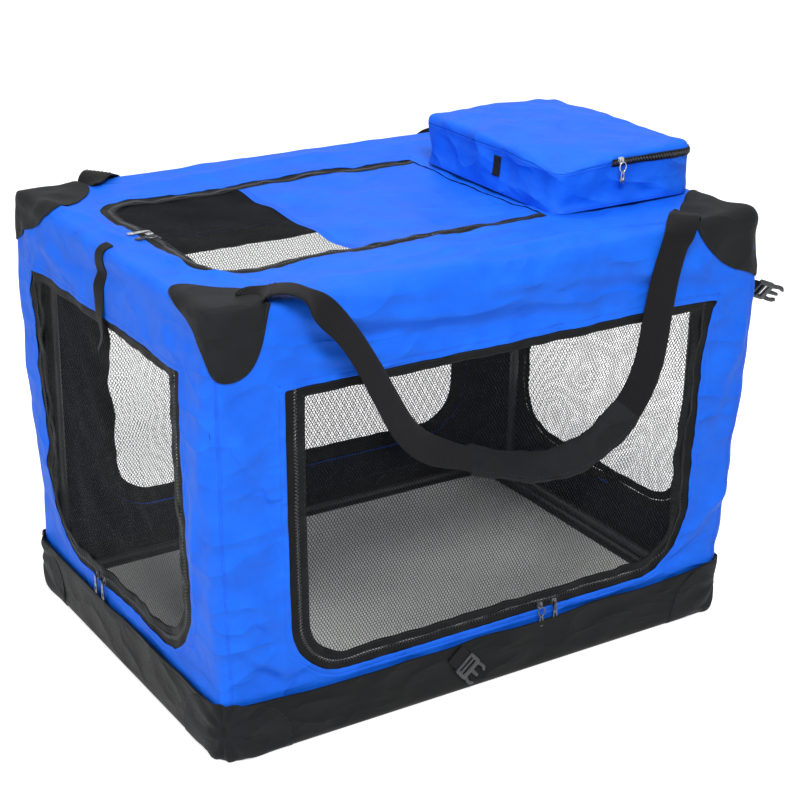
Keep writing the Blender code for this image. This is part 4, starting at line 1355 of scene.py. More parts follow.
@dataclass
class TopPatches:
    """Black caps sewn over the four top corners, each cut as a rounded triangle."""

    cover: Cover
    cloth: float = 1.1 * MM
    patch_lift: float = 1.8 * MM
    stitch_lift: float = 2.0 * MM
    apex_lift: float = 4.4 * MM
    outline: Reach = (
        (0, 62), (29, 57), (55, 61), (80, 92), (90, 110), (118, 98), (134, 94), (152, 92), (172, 82),
        (184, 68), (204, 70), (221, 77), (245, 70), (262, 64))
    front_left: Reach = (
        (0, 62), (14, 46), (44, 37), (70, 44), (84, 70), (92, 94), (104, 104), (112, 97), (125, 88),
        (141, 90), (159, 82), (176, 72), (199, 71), (218, 78), (236, 87), (251, 83), (266, 68))
    front_right: Reach = (
        (0, 84), (15, 84), (30, 82), (55, 82), (80, 98), (90, 112), (105, 100), (120, 88), (140, 88),
        (160, 92), (182, 92), (203, 80), (226, 75), (257, 75), (268, 84))

    @staticmethod
    def way(angle: Points, first: Points, second: Points) -> Points:
        """Turn by an angle from one axis towards the next."""
        return np.cos(angle)[..., None] * first + np.sin(angle)[..., None] * second

    @staticmethod
    def reach(turn: Points, outline: Reach) -> Points:
        """Smooth an outline into how far the cap reaches at each angle from its corner."""
        angles = np.array([a for a, _ in outline] + [270])
        radii = np.array([r for _, r in outline] + [outline[0][1]]) * MM
        out = np.interp(turn, angles, radii)
        for _ in range(2):
            padded = np.concatenate([out[-4:-1], out, out[1:4]])
            out = np.convolve(padded, np.ones(7) / 7, mode="valid")
        return out

    def build(self) -> None:
        """Make each cap and its stitches."""
        lines, shell = [], self.cover.shell
        turn = np.linspace(0, 270, 136)
        steps = np.concatenate([np.linspace(0, 0.93, 20), [0.965, 1.0]])
        p, q = np.meshgrid(steps, steps)
        share = np.maximum(p, q)
        lean = np.where(q > p, 90 - 45 * p / np.maximum(q, 1e-9), 45 * q / np.maximum(p, 1e-9))
        for front in (-1, 1):
            for end in (-1, 1):
                label = ("front" if front < 0 else "back") + ("_left" if end < 0 else "_right")
                reach = self.reach(turn, getattr(self, label, self.outline))
                axes = np.array([(0, 0, -1), (0, -front, 0), (-end, 0, 0), (0, 0, -1)], float)
                corner = np.array([end * shell.half_x, front * shell.half_y, shell.level])
                pucker = Waves(0.045, 0.7 * MM, 71 + front + 3 * end)
                cut = Cut()
                for sector in range(3):
                    angle, total = np.radians(lean), lean + 90 * sector
                    way = self.way(angle, axes[sector], axes[sector + 1])
                    far = share * np.interp(total, turn, reach)
                    sharp = corner + far[..., None] * way
                    fall = 2.0 * MM * np.sin(np.radians(total * 4)) * share * smooth((1 - share) / 0.4)
                    lift = pucker.at(sharp) * smooth((1 - share) / 0.3)
                    lift = lift + self.cover.slack(sharp) + self.patch_lift
                    flat = np.stack([far * np.cos(np.radians(total)), far * np.sin(np.radians(total))], -1)
                    apex = self.apex_lift * np.exp(-(share / 0.24) ** 2)
                    cut.grid(shell.place(sharp, lift + np.maximum(fall, -0.6 * MM) + apex), flat)
                piece = cut.make("top_patch_" + label, CRATE_MIDDLE)
                finish_piece(piece, BLACK, "black_cloth", "crate", "top_corner_patch_" + label, smoothing=1,
                             thick=self.cloth)
                sector = np.minimum((turn // 90).astype(int), 2)
                angle = np.radians(turn - 90 * sector)
                way = self.way(angle, axes[sector], axes[sector + 1])
                edge = corner + (0.955 * reach)[:, None] * way
                lines.append(shell.row(edge, self.cover.slack(edge) + self.stitch_lift))
        sew("top_patch_stitches", lines, BLACK_THREAD, "black_cloth", "crate")


@dataclass
class Handle:
    """A carrying handle: folded webbing with a cloth wrap round it. The back one is the front one turned."""

    turned: bool
    width: float = 0.036
    thick: float = 2.4 * MM
    # The middle line's points, in millimetres
    route: tuple[Spot, ...] = (
        (-302, -222, 508), (-291, -226, 516), (-276, -238, 528.5), (-253, -256, 527),
        (-224.4, -267.5, 497.2), (-202.9, -269.4, 470.2), (-179.5, -270.9, 431), (-160.2, -272.1, 395.1),
        (-138.9, -272.8, 358.9), (-113.3, -273.2, 333.7), (-74.1, -273.2, 314.3), (-26.9, -272.8, 295.1),
        (28.9, -272.1, 277.1), (78.9, -270.9, 272.6), (129.1, -269.4, 286.9), (171.7, -267.5, 320.6),
        (196.2, -265.4, 364.4), (206.8, -263.1, 416.7), (216.5, -260.6, 462.6), (230, -258, 501),
        (237, -256.5, 513), (247, -249, 526.2), (260, -237, 527.5), (276, -223, 517))
    # How far it tips outward, in degrees, at each share of its length
    leans: Reach = ((0.0, 0), (0.08, 0), (0.15, 20), (0.30, 22), (0.40, 38), (0.50, 52), (0.60, 40),
                    (0.72, 25), (0.90, 10), (1.0, 0))
    wrap: tuple[float, float] = (0.42, 0.70)

    def path(self) -> Points:
        """The loop's middle line."""
        return evenly(curve_through(self.route, 8) * MM, 170)

    def across(self, path: Points) -> Points:
        """Which way the webbing's width lies: flat at its roots, and tipped outward along the bottom."""
        share = np.linspace(0, 1, len(path))
        ahead = unit(np.gradient(path, axis=0))
        on_wall = smooth((0.532 - path[:, 2]) / 0.035)[:, None]
        facing = on_wall * np.array([0.0, -1.0, 0.0]) + (1 - on_wall) * np.array([0.0, 0.0, 1.0])
        flat = unit(np.cross(facing, ahead))
        out = np.cross(flat, ahead)
        lean = np.radians(np.interp(share, *zip(*self.leans)))[:, None]
        return np.cos(lean) * flat + np.sin(lean) * out

    def turn(self, points: Points) -> Points:
        """Turn the points to the back for the back handle."""
        return points * np.array([-1, -1, 1]) if self.turned else points

    def build(self) -> None:
        """Make the webbing, the wrap and their stitches."""
        side = "back" if self.turned else "front"
        path, across = self.path(), self.across(self.path())
        count = len(path)
        share = np.linspace(0, 1, count)
        section = np.repeat(pill(1.0, 1.0, 5, 0.35)[None], count, axis=0)
        cup = 2.2 * MM * np.sin(math.pi * share) ** 0.5
        narrow = sum(by * MM * np.exp(-((share - at) / over) ** 2)
                     for by, at, over in ((5, 0.16, 0.08), (6, 0.41, 0.03)))
        section = section * np.stack([self.width - narrow, np.full(count, self.thick)], -1)[:, None]
        section[..., 1] += cup[:, None] * (1 - (2 * section[..., 0] / self.width) ** 2)
        piece = sweep(self.turn(path), self.turn(across), section, side + "_handle_webbing")
        spots = tuple(self.turn(np.array([0.0, -0.25, z])) for z in (0.525, 0.470))
        finish_piece(piece, STRAP, "black_webbing", side + "_handle", side + "_handle_strap", smoothing=1,
                     bend=spots)
        self.grip(side, path, across)
        self.box_stitch(side, path, across)

    def grip(self, side: str, path: Points, across: Points) -> None:
        """Wrap the middle in padded cloth, gathered at both ends."""
        first, last = (round(k * (len(path) - 1)) for k in self.wrap)
        rings = 70
        middle, wide = evenly(path[first:last + 1], rings), evenly(across[first:last + 1], rings)
        share = np.linspace(0, 1, rings)
        plump = smooth(share / 0.08) * smooth((1 - share) / 0.08)
        section = np.repeat(pill(1.0, 1.0, 8, 0.75)[None], rings, axis=0)
        lumps = 1 + 0.05 * np.sin(share * 23) + 0.03 * np.sin(share * 61)
        size = np.stack([(0.0365 + 0.002 * plump) * lumps, (0.0052 + 0.0022 * plump) * lumps], -1)
        section = section * size[:, None]
        piece = sweep(self.turn(middle), self.turn(wide), section, side + "_handle_wrap")
        finish_piece(piece, BLACK, "black_cloth", side + "_handle", side + "_handle_grip", smoothing=1)
        out = unit(np.cross(np.gradient(middle, axis=0), wide))
        out = np.where(out[:, 1:2] > 0, -out, out)
        lines = []
        for edge in (-0.0145, 0.0145):
            line = middle + wide * edge + out * 0.0036
            lines.append((self.turn(line[5:-5]), self.turn(out[5:-5])))
        sew(side + "_handle_wrap_stitches", lines, BLACK_THREAD, "black_cloth", side + "_handle")

    def box_stitch(self, side: str, path: Points, across: Points) -> None:
        """Sew a crossed box through each end of the webbing."""
        out = unit(np.cross(np.gradient(path, axis=0), across))
        out = np.where((out @ np.array([0.0, -0.5, 1.0]))[:, None] < 0, -out, out)
        lines = []
        near, far, wide = 1.0, 7.0, self.width / 2 - 3 * MM
        boxes = [((near, -wide), (far, -wide)), ((far, -wide), (far, wide)), ((far, wide), (near, wide)),
                 ((near, wide), (near, -wide)), ((near, -wide), (far, wide)), ((far, -wide), (near, wide))]
        for flip in (1, -1):
            steps = np.arange(len(path))
            for start, stop in boxes:
                walk = np.linspace(start, stop, 12)
                middle, side_way, normal = (
                    np.column_stack([np.interp(walk[:, 0], steps, k[::flip][:, c]) for c in range(3)])
                    for k in (path, across, out))
                line = middle + side_way * walk[:, 1:] + normal * (self.thick / 2 + 0.5 * MM)
                lines.append((self.turn(line), self.turn(normal)))
        sew(side + "_handle_box_stitches", lines, BLACK_THREAD, "black_webbing", "crate")


@dataclass
class TieStrap:
    """A narrow webbing strap sewn to the ridge of an end, which ties up the rolled door."""

    cover: Cover
    face: Face
    width: float = 0.018
    thick: float = 1.6 * MM
    length: float = 0.118
    middle: float = 0.0

    def build(self) -> None:
        """Make the strap and its box stitch."""
        side = self.face.name.lower()
        sign = -1 if self.face is Face.LEFT else 1
        steps = 34
        share = np.linspace(0, 1, steps)
        hang = np.clip((share - 0.12) / 0.88, 0, 1)
        sway = np.sin(share * 5.0) * 1.5 * MM * hang - 3 * MM * hang
        out = 3.2 * MM * hang + 6 * MM * smooth((hang - 0.8) / 0.2) ** 2
        sharp = np.column_stack([np.full(steps, sign * self.cover.shell.half_x), self.middle + sway,
                                 self.cover.shell.level - self.length * hang])
        sharp[:, 0] -= sign * np.clip(0.12 - share, 0, 1) / 0.12 * 15 * MM
        rest = self.cover.slack(sharp)
        path = self.cover.shell.place(sharp, rest + 1.3 * MM + out)
        twist = -np.radians(30) * smooth(hang / 0.5) * np.cos(hang * 2.5)
        normal = self.cover.shell.outward(sharp)
        ahead = np.gradient(path, axis=0)
        wide = unit(np.cross(normal, ahead))
        face = unit(np.cross(ahead, wide))
        across = np.cos(twist)[:, None] * wide + np.sin(twist)[:, None] * face
        section = pill(self.width, self.thick, 5, 0.35)
        piece = sweep(path, across, section, side + "_tie_webbing")
        finish_piece(piece, STRAP, "black_webbing", side + "_tie_strap", side + "_tie_strap", smoothing=1,
                     bend=(np.array([sign * 0.36, 0, 0.518]), np.array([sign * 0.36, 0, 0.490])))
        spot, way = path[1], unit(path[4] - path[1])
        reach, half = 9 * MM, 6 * MM
        corners = [spot + way * a + wide[1] * t + normal[1] * (self.thick / 2 + 0.2 * MM)
                   for a, t in ((0, -half), (reach, -half), (reach, half), (0, half))]
        lines = [(np.linspace(corners[k], corners[m], 8), np.tile(normal[1], (8, 1)))
                 for k, m in ((0, 1), (1, 2), (2, 3), (3, 0), (0, 2), (1, 3))]
        sew(side + "_tie_stitches", lines, BLACK_THREAD, "black_webbing", "crate")


@dataclass
class Pocket:
    """The top pocket: a gusset, a puffed top whose right part is a flap, and the zip that frees the flap."""

    shell: Shell = Shell(0.103, 0.1385, 0.5803, 0.020, 0.008, (0.241, -0.0135))
    floor: float = 0.5203
    rim: float = 8.5 * MM
    cut_at: float = 0.2142
    count: int = 56
    pitch: float = 2.0 * MM
    tooth: Spot = (1.5 * MM, 1.7 * MM, 1.1 * MM)
    gap: float = 0.2 * MM
    cloth: float = 0.9 * MM
    broad: Waves = Waves(0.110, 1.4 * MM, 81)
    middling: Waves = Waves(0.036, 0.7 * MM, 82)
    fine: Waves = Waves(0.014, 0.15 * MM, 83)

    def lift(self, sharp: Points) -> Points:
        """How far the pocket's cloth stands off its plain box."""
        x, y, z = np.moveaxis(sharp, -1, 0)
        dx, dy = x - self.shell.middle[0], y - self.shell.middle[1]
        foot = smooth((z - self.floor) / 0.012)
        lift = (self.broad.at(sharp) + self.middling.at(sharp) + self.fine.at(sharp)) * foot
        on_top = smooth((z - self.shell.level + 4 * MM) / (4 * MM))
        crown = 5.0 * MM * np.clip(1 - (dx / 0.11) ** 2, 0, 1) * np.clip(1 - (dy / 0.145) ** 2, 0, 1)
        corner = np.hypot(x - 0.138, y + 0.152)
        lift = lift + on_top * (crown - 9.0 * MM * np.exp(-(corner / 0.05) ** 2))
        hollow = smooth((z - self.floor) / 0.02) * smooth((self.shell.level - z) / 0.02) * (1 - on_top)
        return lift - 1.6 * MM * hollow

    def cloth_at(self, sharp: Points, above: float = 0.0) -> Points:
        """Stand points off the pocket's cloth, and let its front-left corner sink."""
        placed = self.shell.place(sharp, self.lift(sharp) + above)
        corner = np.exp(-(np.hypot(sharp[..., 0] - 0.138, sharp[..., 1] + 0.152) / 0.045) ** 2)
        share = np.clip((placed[..., 2] - self.floor) / 0.06, 0, 1)
        placed[..., 2] -= 6.0 * MM * corner * share
        return placed

    def build(self) -> None:
        """Make the gusset, both parts of the top, the zip, the seams and the loop-fastener patch."""
        seam = self.shell.level - self.rim
        plan, along = self.shell.around(self.count)
        heights = np.array([self.floor, self.floor + 0.8 * MM,
                            *np.linspace(self.floor + 3 * MM, seam - 2 * MM, 12), seam - self.gap])
        sharp = np.stack([np.column_stack([plan, np.full(len(plan), z)]) for z in heights])
        places = np.stack(np.broadcast_arrays(along[None, :], heights[:, None]), -1)
        piece = lay("pocket_gusset", self.cloth_at(sharp), places, POCKET_MIDDLE)
        finish_piece(piece, BLUE, "blue_cloth", "crate", "pocket_body", smoothing=1, thick=self.cloth)
        reach_x, reach_y = self.shell.half_x + self.rim, self.shell.half_y + self.rim
        p, q = np.meshgrid(np.linspace(-reach_x, reach_x, 50), np.linspace(-reach_y, reach_y, 66))
        points = self.cloth_at(self.shell.lid(p, q, self.rim))
        piece = lay("pocket_top", points, np.stack([p, q], -1), POCKET_MIDDLE)
        fold = tuple(np.array([self.cut_at + k, 0.0, self.shell.level]) for k in (-6 * MM, 8 * MM))
        finish_piece(piece, BLUE, "blue_cloth", "pocket_flap", "pocket_flap", smoothing=1, thick=self.cloth,
                     bend=fold)
        self.zip(seam)
        self.seams(seam)

    def zip(self, seam: float) -> None:
        """Run the zip round three sides of the flap."""
        plan, along = self.shell.around(self.count)
        count = self.count
        past = self.cut_at + 2 * MM - self.shell.middle[0] + self.shell.half_x
        first = int(count * past / (2 * self.shell.half_x)) + 1
        last = 3 * count - first + 1
        route = plan[first:last]
        section = [(-4.5, 0.2), (4.5, 0.2), (4.5, 0.8), (1.6, 1.0), (-1.6, 1.0), (-4.5, 0.8)]
        rows = []
        for rise, above in section + section[:1]:
            sharp = np.column_stack([route, np.full(len(route), seam + rise * MM)])
            rows.append(self.cloth_at(sharp, above * MM))
        cut = Cut()
        cut.grid(np.stack(rows), np.stack(np.broadcast_arrays(
            along[first:last][None, :], np.arange(len(rows))[:, None] * 2 * MM), -1))
        cut.close_ends(len(section), len(route))
        finish_piece(cut.make("pocket_zip_tape"), TAPE, "black_cloth", "crate")
        teeth = evenly(np.column_stack([route, np.full(len(route), seam)]),
                       int(lengths(route)[-1] / self.pitch))
        lines = []
        for k, sign in ((0, -1), (1, 1)):
            sharp = teeth[k::2] + np.array([0, 0, sign * 0.7 * MM])
            lines.append((self.cloth_at(sharp, 0.9 * MM), self.shell.outward(sharp)))
        lay_coil("pocket_zip_coil", lines, self.tooth)

    def seams(self, seam: float) -> None:
        """Sew the top seam and the foot, and add the dark patch on the left side."""
        plan, _ = self.shell.around(self.count)
        lines = []
        for z, above in ((seam - 3 * MM, 0.1 * MM), (self.floor + 3 * MM, 0.1 * MM)):
            sharp = np.column_stack([plan, np.full(len(plan), z)])
            lines.append((self.cloth_at(sharp, above), self.shell.outward(sharp)))
        sew("pocket_stitches", lines, BLUE_THREAD, "blue_cloth", "crate")
        tall, wide, middle_y, middle_z = 0.024, 0.013, -0.033, 0.551
        y, z = np.meshgrid(np.linspace(middle_y - wide / 2, middle_y + wide / 2, 8),
                           np.linspace(middle_z - tall / 2, middle_z + tall / 2, 12))
        sharp = np.stack([np.full(y.shape, self.shell.middle[0] - self.shell.half_x), y, z], -1)
        piece = lay("pocket_fastener", self.cloth_at(sharp, 1.2 * MM), np.stack([y, z], -1), POCKET_MIDDLE)
        finish_piece(piece, BLACK, "black_cloth", "crate", thick=1.4 * MM)


@dataclass
class Slider:
    """A zip slider and the pull that hangs from it."""

    label: str
    out: Spot
    down: Spot
    metal: Finish
    tag: Finish
    fused: bool = False
    ring: bool = False

    def axes(self) -> tuple[Points, Points, Points]:
        """The slider's down, across and outward axes."""
        out, down = np.array(self.out, float), np.array(self.down, float)
        return down, np.cross(out, down), out

    def shape(self, name: str, outline: Outline, low: float, high: float, origin: Points,
              holes: list[Outline] | None = None, bevel: float = 0.4) -> Piece:
        """Extrude an outline along the outward axis and soften its edges.

        Args:
            name: The piece's name.
            outline: Down and across of each point, in millimetres.
            low: Where it starts, in millimetres outward.
            high: Where it ends.
            origin: The slider's place.
            holes: Outlines cut through it.
            bevel: The edges' radius in millimetres.

        Returns:
            The piece.
        """
        down, across, out = self.axes()
        mesh = bmesh.new()
        loops = []
        for loop in [outline] + (holes or []):
            verts = [mesh.verts.new(Vector(origin + (down * d + across * a + out * low) * MM))
                     for d, a in loop]
            loops.append([mesh.edges.new((verts[k], verts[(k + 1) % len(verts)])) for k in range(len(verts))])
        edges = [e for loop in loops for e in loop]
        made = bmesh.ops.triangle_fill(mesh, use_beauty=True, use_dissolve=True, edges=edges)
        faces = [f for f in made["geom"] if isinstance(f, bmesh.types.BMFace)]
        solid = bmesh.ops.extrude_face_region(mesh, geom=faces)
        moved = [v for v in solid["geom"] if isinstance(v, bmesh.types.BMVert)]
        bmesh.ops.translate(mesh, verts=moved, vec=Vector(out * (high - low) * MM))
        bmesh.ops.recalc_face_normals(mesh, faces=mesh.faces)
        data = bpy.data.meshes.new(name)
        mesh.to_mesh(data)
        mesh.free()
        data.shade_smooth()
        piece = bpy.data.objects.new(name, data)
        bpy.context.scene.collection.objects.link(piece)
        rounded = piece.modifiers.new("edges", "BEVEL")
        rounded.width = bevel * MM
        rounded.segments = 2
        rounded.limit_method = "ANGLE"
        return piece

    def build(self) -> None:
        """Make the body, its bridge, the pull and its ring."""
        node = self.label + "_slider"
        low, high = (np.array(k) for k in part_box(node))
        down, _, out = self.axes()
        centre = (low + high) / 2
        size = high - low
        deep = abs(size @ out) / MM
        long = min(abs(size @ down) / MM, 9.0)
        if self.fused:
            centre = centre - down * (abs(size @ down) / 2 - 4.5 * MM)
            deep = 4.0
            centre = centre + out * (4.0 - abs(size @ out) / MM) / 2 * MM
        wide = 3.5
        base = centre - out * deep / 2 * MM
        lower = [(-long / 2, -wide * 0.75), (-long / 2, wide * 0.75), (-1, wide), (long / 2 - 1, wide * 0.8),
                 (long / 2, wide * 0.4), (long / 2, -wide * 0.4), (long / 2 - 1, -wide * 0.8), (-1, -wide)]
        bridge = [(-2.8, -1.2), (-2.8, 1.2), (2.6, 1.2), (2.6, -1.2)]
        neck = [(-long / 2, -1.0), (-long / 2, 1.0), (-long / 2 + 2.2, 1.0), (-long / 2 + 2.2, -1.0)]
        for part, outline, start, stop, bevel, nodes in (
                ("plate", lower, 1.5, 2.7, 0.4, [node]), ("bridge", bridge, 2.5, 4.2, 0.7, []),
                ("underplate", lower, -0.4, 0.4, 0.4, []), ("neck", neck, 0.2, 1.8, 0.4, [])):
            piece = self.shape(f"{self.label}_{part}", outline, start, stop, base, bevel=bevel)
            finish_piece(piece, self.metal, "zip_metal", node, *nodes)
        self.pull(node if self.fused else self.label + "_pull", base)

    def pull(self, body: str, base: Points) -> None:
        """Make the pull: a tag with an eye, or a ring with a cord tab."""
        down, across, out = self.axes()
        if self.fused:
            start = base + out * 4.3 * MM
            nodes = ()
            long = 26.0
        else:
            low, high = (np.array(k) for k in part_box(self.label + "_pull"))
            centre = (low + high) / 2
            long = abs((high - low) @ down) / MM
            start = centre - down * long / 2 * MM - out * 0.8 * MM
            nodes = (self.label + "_pull",)
        turn = np.linspace(0, 2 * math.pi, 20, endpoint=False)
        if self.ring:
            loop = np.stack([np.cos(turn) * 6.0 + 7.2, np.sin(turn) * 4.6], 1) * MM
            path = start + loop[:, :1] * down + loop[:, 1:] * across + out * 0.9 * MM
            path = np.vstack([path, path[:2]])
            piece = sweep(path, np.tile(out, (len(path), 1)), pill(1.5 * MM, 1.5 * MM, 3, 1.0),
                          self.label + "_ring")
            finish_piece(piece, self.metal, "zip_metal", body)
            first, last, w1, w2 = 11.5, long, 2.2, 3.4
        else:
            first, last, w1, w2 = 0.0, long, 2.0, 3.5
        outline = [(first, -w1), (first, w1), (first + 3, w1), (last - 4, w2), (last - 1, w2 * 0.8),
                   (last, w2 * 0.4), (last, -w2 * 0.4), (last - 1, -w2 * 0.8), (last - 4, -w2),
                   (first + 3, -w1)]
        eye = [(first + 1.4 + 1.1 * math.cos(t), 1.0 * math.sin(t)) for t in -turn[::2]]
        slot = [(last - 9 - 1.4 * math.cos(t) * 2.2, 1.4 * math.sin(t)) for t in -turn[::2]]
        piece = self.shape(self.label + "_tag", outline, 0.0, 1.6, start, [eye, slot], 0.35)
        finish_piece(piece, self.tag, "zip_metal", body, *nodes)


@dataclass
class Buckle:
    """One half of a side-release buckle on a short webbing strap."""

    label: str
    origin: Spot
    down: Spot
    out: Spot
    strap: float
    turn: float = 0.0
    strap_width: float = 0.025
    thick: float = 7.0

    def build(self) -> None:
        """Make the strap and the moulded half."""
        down, out = unit(np.array(self.down, float)), unit(np.array(self.out, float))
        across = np.cross(out, down)
        angle = math.radians(self.turn)
        facing = math.cos(angle) * out + math.sin(angle) * across
        origin = np.array(self.origin, float)
        reach = self.strap + 8.0 * MM
        t = np.linspace(0, 1, 14)[:, None]
        path = origin + down * reach * t + out * 0.4 * MM * np.sin(3.1 * t)
        spin = angle * smooth((t - 0.05) / 0.6)
        sides = np.cos(spin) * across - np.sin(spin) * out
        piece = sweep(path, sides, pill(self.strap_width, 1.5 * MM, 5, 0.35), self.label + "_webbing")
        finish_piece(piece, STRAP, "black_webbing", self.label, self.label + "_strap", smoothing=1)
        maker = Slider(self.label, tuple(facing), tuple(down), PLASTIC, PLASTIC)
        top = (self.strap + 0.3 * MM) / MM
        body = [(top + down_by, across_by) for down_by, across_by in (
            (0, -14), (0, 14), (1.5, 15), (17, 15), (19, 13.5), (19, -13.5), (17, -15), (1.5, -15))]
        slots = [[(top + at, -10.5), (top + at, 10.5), (top + at + 3.4, 10.5), (top + at + 3.4, -10.5)]
                 for at in (3.2, 9.6)]
        piece = maker.shape(self.label + "_frame", body, -2.6, 2.6, origin, slots, 0.9)
        finish_piece(piece, PLASTIC, "black_plastic", self.label, self.label)
        for side, sign in (("low", -1), ("high", 1)):
            prong = [(top + down_by, sign * across_by) for down_by, across_by in (
                (18, 13.5), (26, 14.6), (31, 14.0), (34, 10.5), (33.4, 8.6), (30, 9.2), (26.5, 11.0),
                (18, 9.0))]
            name = f"{self.label}_prong_{side}"
            piece = maker.shape(name, prong[::sign], -2.2, 2.2, origin, bevel=0.7)
            finish_piece(piece, PLASTIC, "black_plastic", self.label)
        guide = [(top + down_by, across_by) for down_by, across_by in (
            (18, -2.6), (18, 2.6), (30, 1.8), (31.5, 0.8), (31.5, -0.8), (30, -1.8))]
        piece = maker.shape(self.label + "_guide", guide, -1.6, 1.6, origin, bevel=0.5)
        finish_piece(piece, PLASTIC, "black_plastic", self.label)


@dataclass
class FloorMat:
    """The fleece mat on the floor board, thicker in the middle and drawn in at its edges."""

    steps: float = 9.0 * MM
    inset: float = 2.0 * MM
    seam: float = 3.5 * MM
    dents: Waves = Waves(0.13, 1.3 * MM, 91)

    def build(self) -> None:
        """Shape the pad and finish it."""
        low, high = (np.array(k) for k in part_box("floor_mat"))
        half = (high - low)[:2] / 2 - self.inset
        middle = (high + low)[:2] / 2
        nx, ny = (round(2 * h / self.steps) for h in half)
        x, y = np.meshgrid(np.linspace(-1, 1, nx), np.linspace(-1, 1, ny))
        body = high[2] - low[2]
        edge = np.maximum(np.abs(x), np.abs(y))
        drop = np.sqrt(np.clip(1 - np.clip((edge - 0.955) / 0.045, 0, 1) ** 2, 0, 1))
        crown = (1 - x ** 2) * (1 - y ** 2)
        corner = 0.985 + 0.015 * (1 - (np.abs(x) * np.abs(y)) ** 6)
        seam = low[2] + self.seam
        cut = Cut()
        for above in (False, True):
            z = seam + drop * (2.2 * MM + (body - 8.5 * MM) * crown ** 0.6 if above else -3.3 * MM)
            points = np.stack([middle[0] + x * half[0] * corner, middle[1] + y * half[1] * corner, z], -1)
            if above:
                points[..., 2] += self.dents.at(points) * crown ** 0.5
            cut.grid(points, points[..., :2])
        piece = cut.make("fleece_mat")
        finish_piece(piece, FLEECE, "grey_fleece", "crate", "floor_mat", smoothing=1)


def dress_frame(frame: dict) -> None:
    """Give the tubes, hinges and board their own finishes."""
    for name, node in frame["nodes"].items():
        finish = (TUBE if name.endswith("_frame") else PLASTIC if name.startswith("frame_hinge")
                  else BOARD if name == "floor_board" else None)
        if finish:
            node.data.materials.clear()
            node.data.materials.append(finish.material())
            log.info("%s wears %s", name, finish.name)


@dataclass
class Studio:
    """A white studio: a floor, a soft world, three soft lamps and the camera."""

    place: Spot = (-1.128, -1.799, 1.144)
    target: Spot = (0.02983, 0.0, 0.26056)
    angle: float = 24.063
    roll: float = 1.02
    world: float = 0.30
    white: float = 1.0
    half_floor: float = 12.0
    # Each lamp's name, place, size and power
    lamps: tuple[tuple[str, Spot, float, float], ...] = (
        ("key", (-0.7, -1.75, 2.6), 0.9, 72.0), ("side", (-2.4, -0.6, 1.3), 0.9, 16.0),
        ("top", (0.4, 0.7, 2.5), 0.8, 14.0))

    def build(self) -> None:
        """Make the floor, lights, world and camera."""
        scene = bpy.context.scene
        scene.view_settings.view_transform = "Standard"
        self.backdrop(scene)
        for name, place, size, power in self.lamps:
            lamp = bpy.data.lights.new(name, "AREA")
            lamp.size = size
            lamp.energy = power
            holder = bpy.data.objects.new(name, lamp)
            holder.location = place
            aim = Vector((0, 0, 0.25)) - Vector(place)
            holder.rotation_euler = aim.to_track_quat("-Z", "Y").to_euler()
            scene.collection.objects.link(holder)
        camera = bpy.data.cameras.new("camera")
        camera.sensor_fit = "HORIZONTAL"
        camera.angle = math.radians(self.angle)
        holder = bpy.data.objects.new("camera", camera)
        look = (Vector(self.target) - Vector(self.place)).to_track_quat("-Z", "Y").to_matrix().to_4x4()
        turn = Matrix.Rotation(math.radians(self.roll), 4, "Z")
        holder.matrix_world = Matrix.Translation(self.place) @ look @ turn
        scene.collection.objects.link(holder)
        scene.camera = holder

    def backdrop(self, scene: bpy.types.Scene) -> None:
        """Make the floor that keeps the shadow, and the white world behind it."""
        world = bpy.data.worlds.new("studio")
        world.use_nodes = True
        tree = world.node_tree
        level = add_node(tree, "MapRange", Value=self.seen(tree), To_Min=self.world, To_Max=self.white)
        set_inputs(tree, tree.nodes["Background"], Color=(1, 1, 1, 1), Strength=level)
        scene.world = world
        mesh = bpy.data.meshes.new("floor")
        corners = [(x * self.half_floor, y * self.half_floor, 0)
                   for x, y in ((-1, -1), (1, -1), (1, 1), (-1, 1))]
        mesh.from_pydata(corners, [], [(0, 1, 2, 3)])
        floor = bpy.data.objects.new("floor", mesh)
        floor.location.z = -0.0006
        scene.collection.objects.link(floor)
        mesh.materials.append(StudioFloor().material())

    @staticmethod
    def seen(tree: Tree) -> Node:
        """Is this ray the camera's, or a reflection or a view through glass?"""
        path = add_node(tree, "LightPath")
        both = add_node(tree, "Math", {"operation": "MAXIMUM"}, i0=path.outputs["Is Camera Ray"],
                        i1=path.outputs["Is Glossy Ray"])
        return add_node(tree, "Math", {"operation": "MAXIMUM"}, i0=both,
                        i1=path.outputs["Is Transmission Ray"])


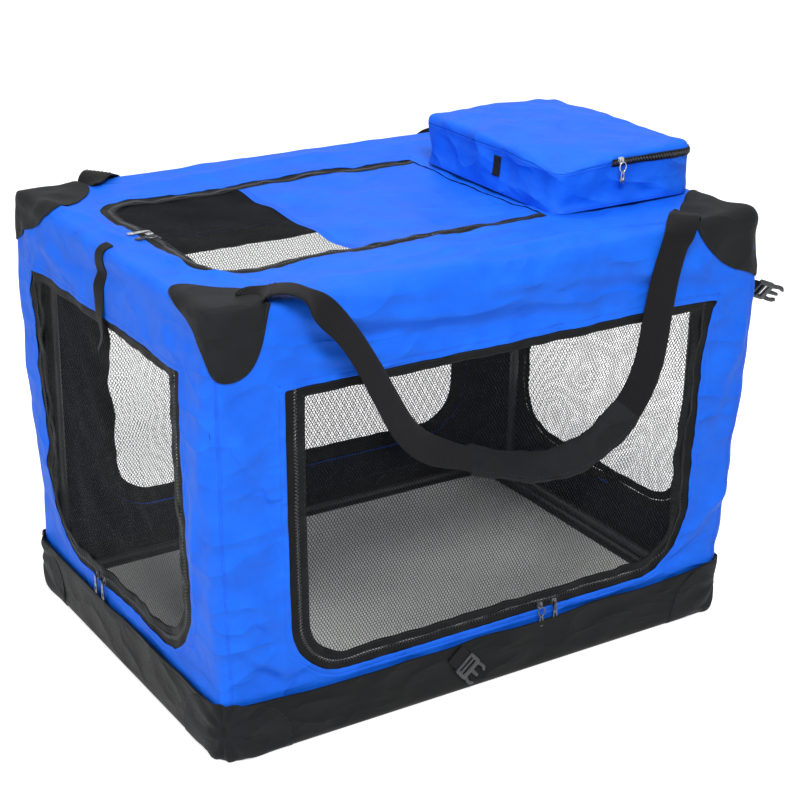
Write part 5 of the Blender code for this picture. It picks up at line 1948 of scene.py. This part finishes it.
def sliders() -> list[Slider]:
    """Lay out every zip slider."""
    down = (0.0, 0.0, -1.0)
    out = []
    for key in "ab":
        out.append(Slider(f"front_door_{key}", (0, -1, 0), down, GUNMETAL, GUNMETAL, ring=key == "a"))
        out.append(Slider(f"left_door_{key}", (-1, 0, 0), down, GUNMETAL, GUNMETAL))
        out.append(Slider(f"top_door_{key}", (0, 0, 1), (-1, 0, 0), NICKEL if key == "a" else GUNMETAL,
                          NICKEL if key == "a" else PLASTIC, ring=key == "b"))
    out.append(Slider("right_door", (1, 0, 0), down, GUNMETAL, GUNMETAL, fused=True))
    out.append(Slider("pocket", (0, -1, 0), down, NICKEL, NICKEL, ring=True))
    return out


def main() -> None:
    """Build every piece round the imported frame."""
    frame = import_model()
    Studio().build()
    cover = Cover()
    cover.build()
    for window in (FRONT_WINDOW, LEFT_WINDOW, RIGHT_WINDOW, TOP_WINDOW):
        ZipRun(cover, window).build()
    for window in (FRONT_WINDOW, LEFT_WINDOW, RIGHT_WINDOW):
        side = window.face.name.lower()
        MeshPane(cover, window, side + "_door", side + "_door", side + "_door_binding",
                 side + "_door_mesh").build()
    MeshPane(cover, BACK_WINDOW, "back_window", "crate", None, "back_window_mesh", outer=-3.0 * MM,
             inner=20 * MM, top=0.0).build()
    TopDoor(cover).build()
    BaseTray().build()
    TopPatches(cover).build()
    Handle(False).build()
    Handle(True).build()
    TieStrap(cover, Face.LEFT).build()
    TieStrap(cover, Face.RIGHT).build()
    Pocket().build()
    for slider in sliders():
        slider.build()
    tilt = math.radians(40)
    Buckle("front_buckle", (-0.055, -0.2578, 0.056), (math.sin(tilt), 0, -math.cos(tilt)), (0, -1, 0),
           0.018).build()
    hang = Vector((0.86, -0.38, -0.33)).normalized()
    facing = Vector((0, 0, 1)) - hang.z * hang
    Buckle("right_buckle", (0.3611, -0.218, 0.425), tuple(hang), tuple(facing), 0.029, turn=55).build()
    FloorMat().build()
    dress_frame(frame)


if __name__ == "__main__":
    logging.basicConfig(level=logging.INFO, format="%(message)s")
    main()
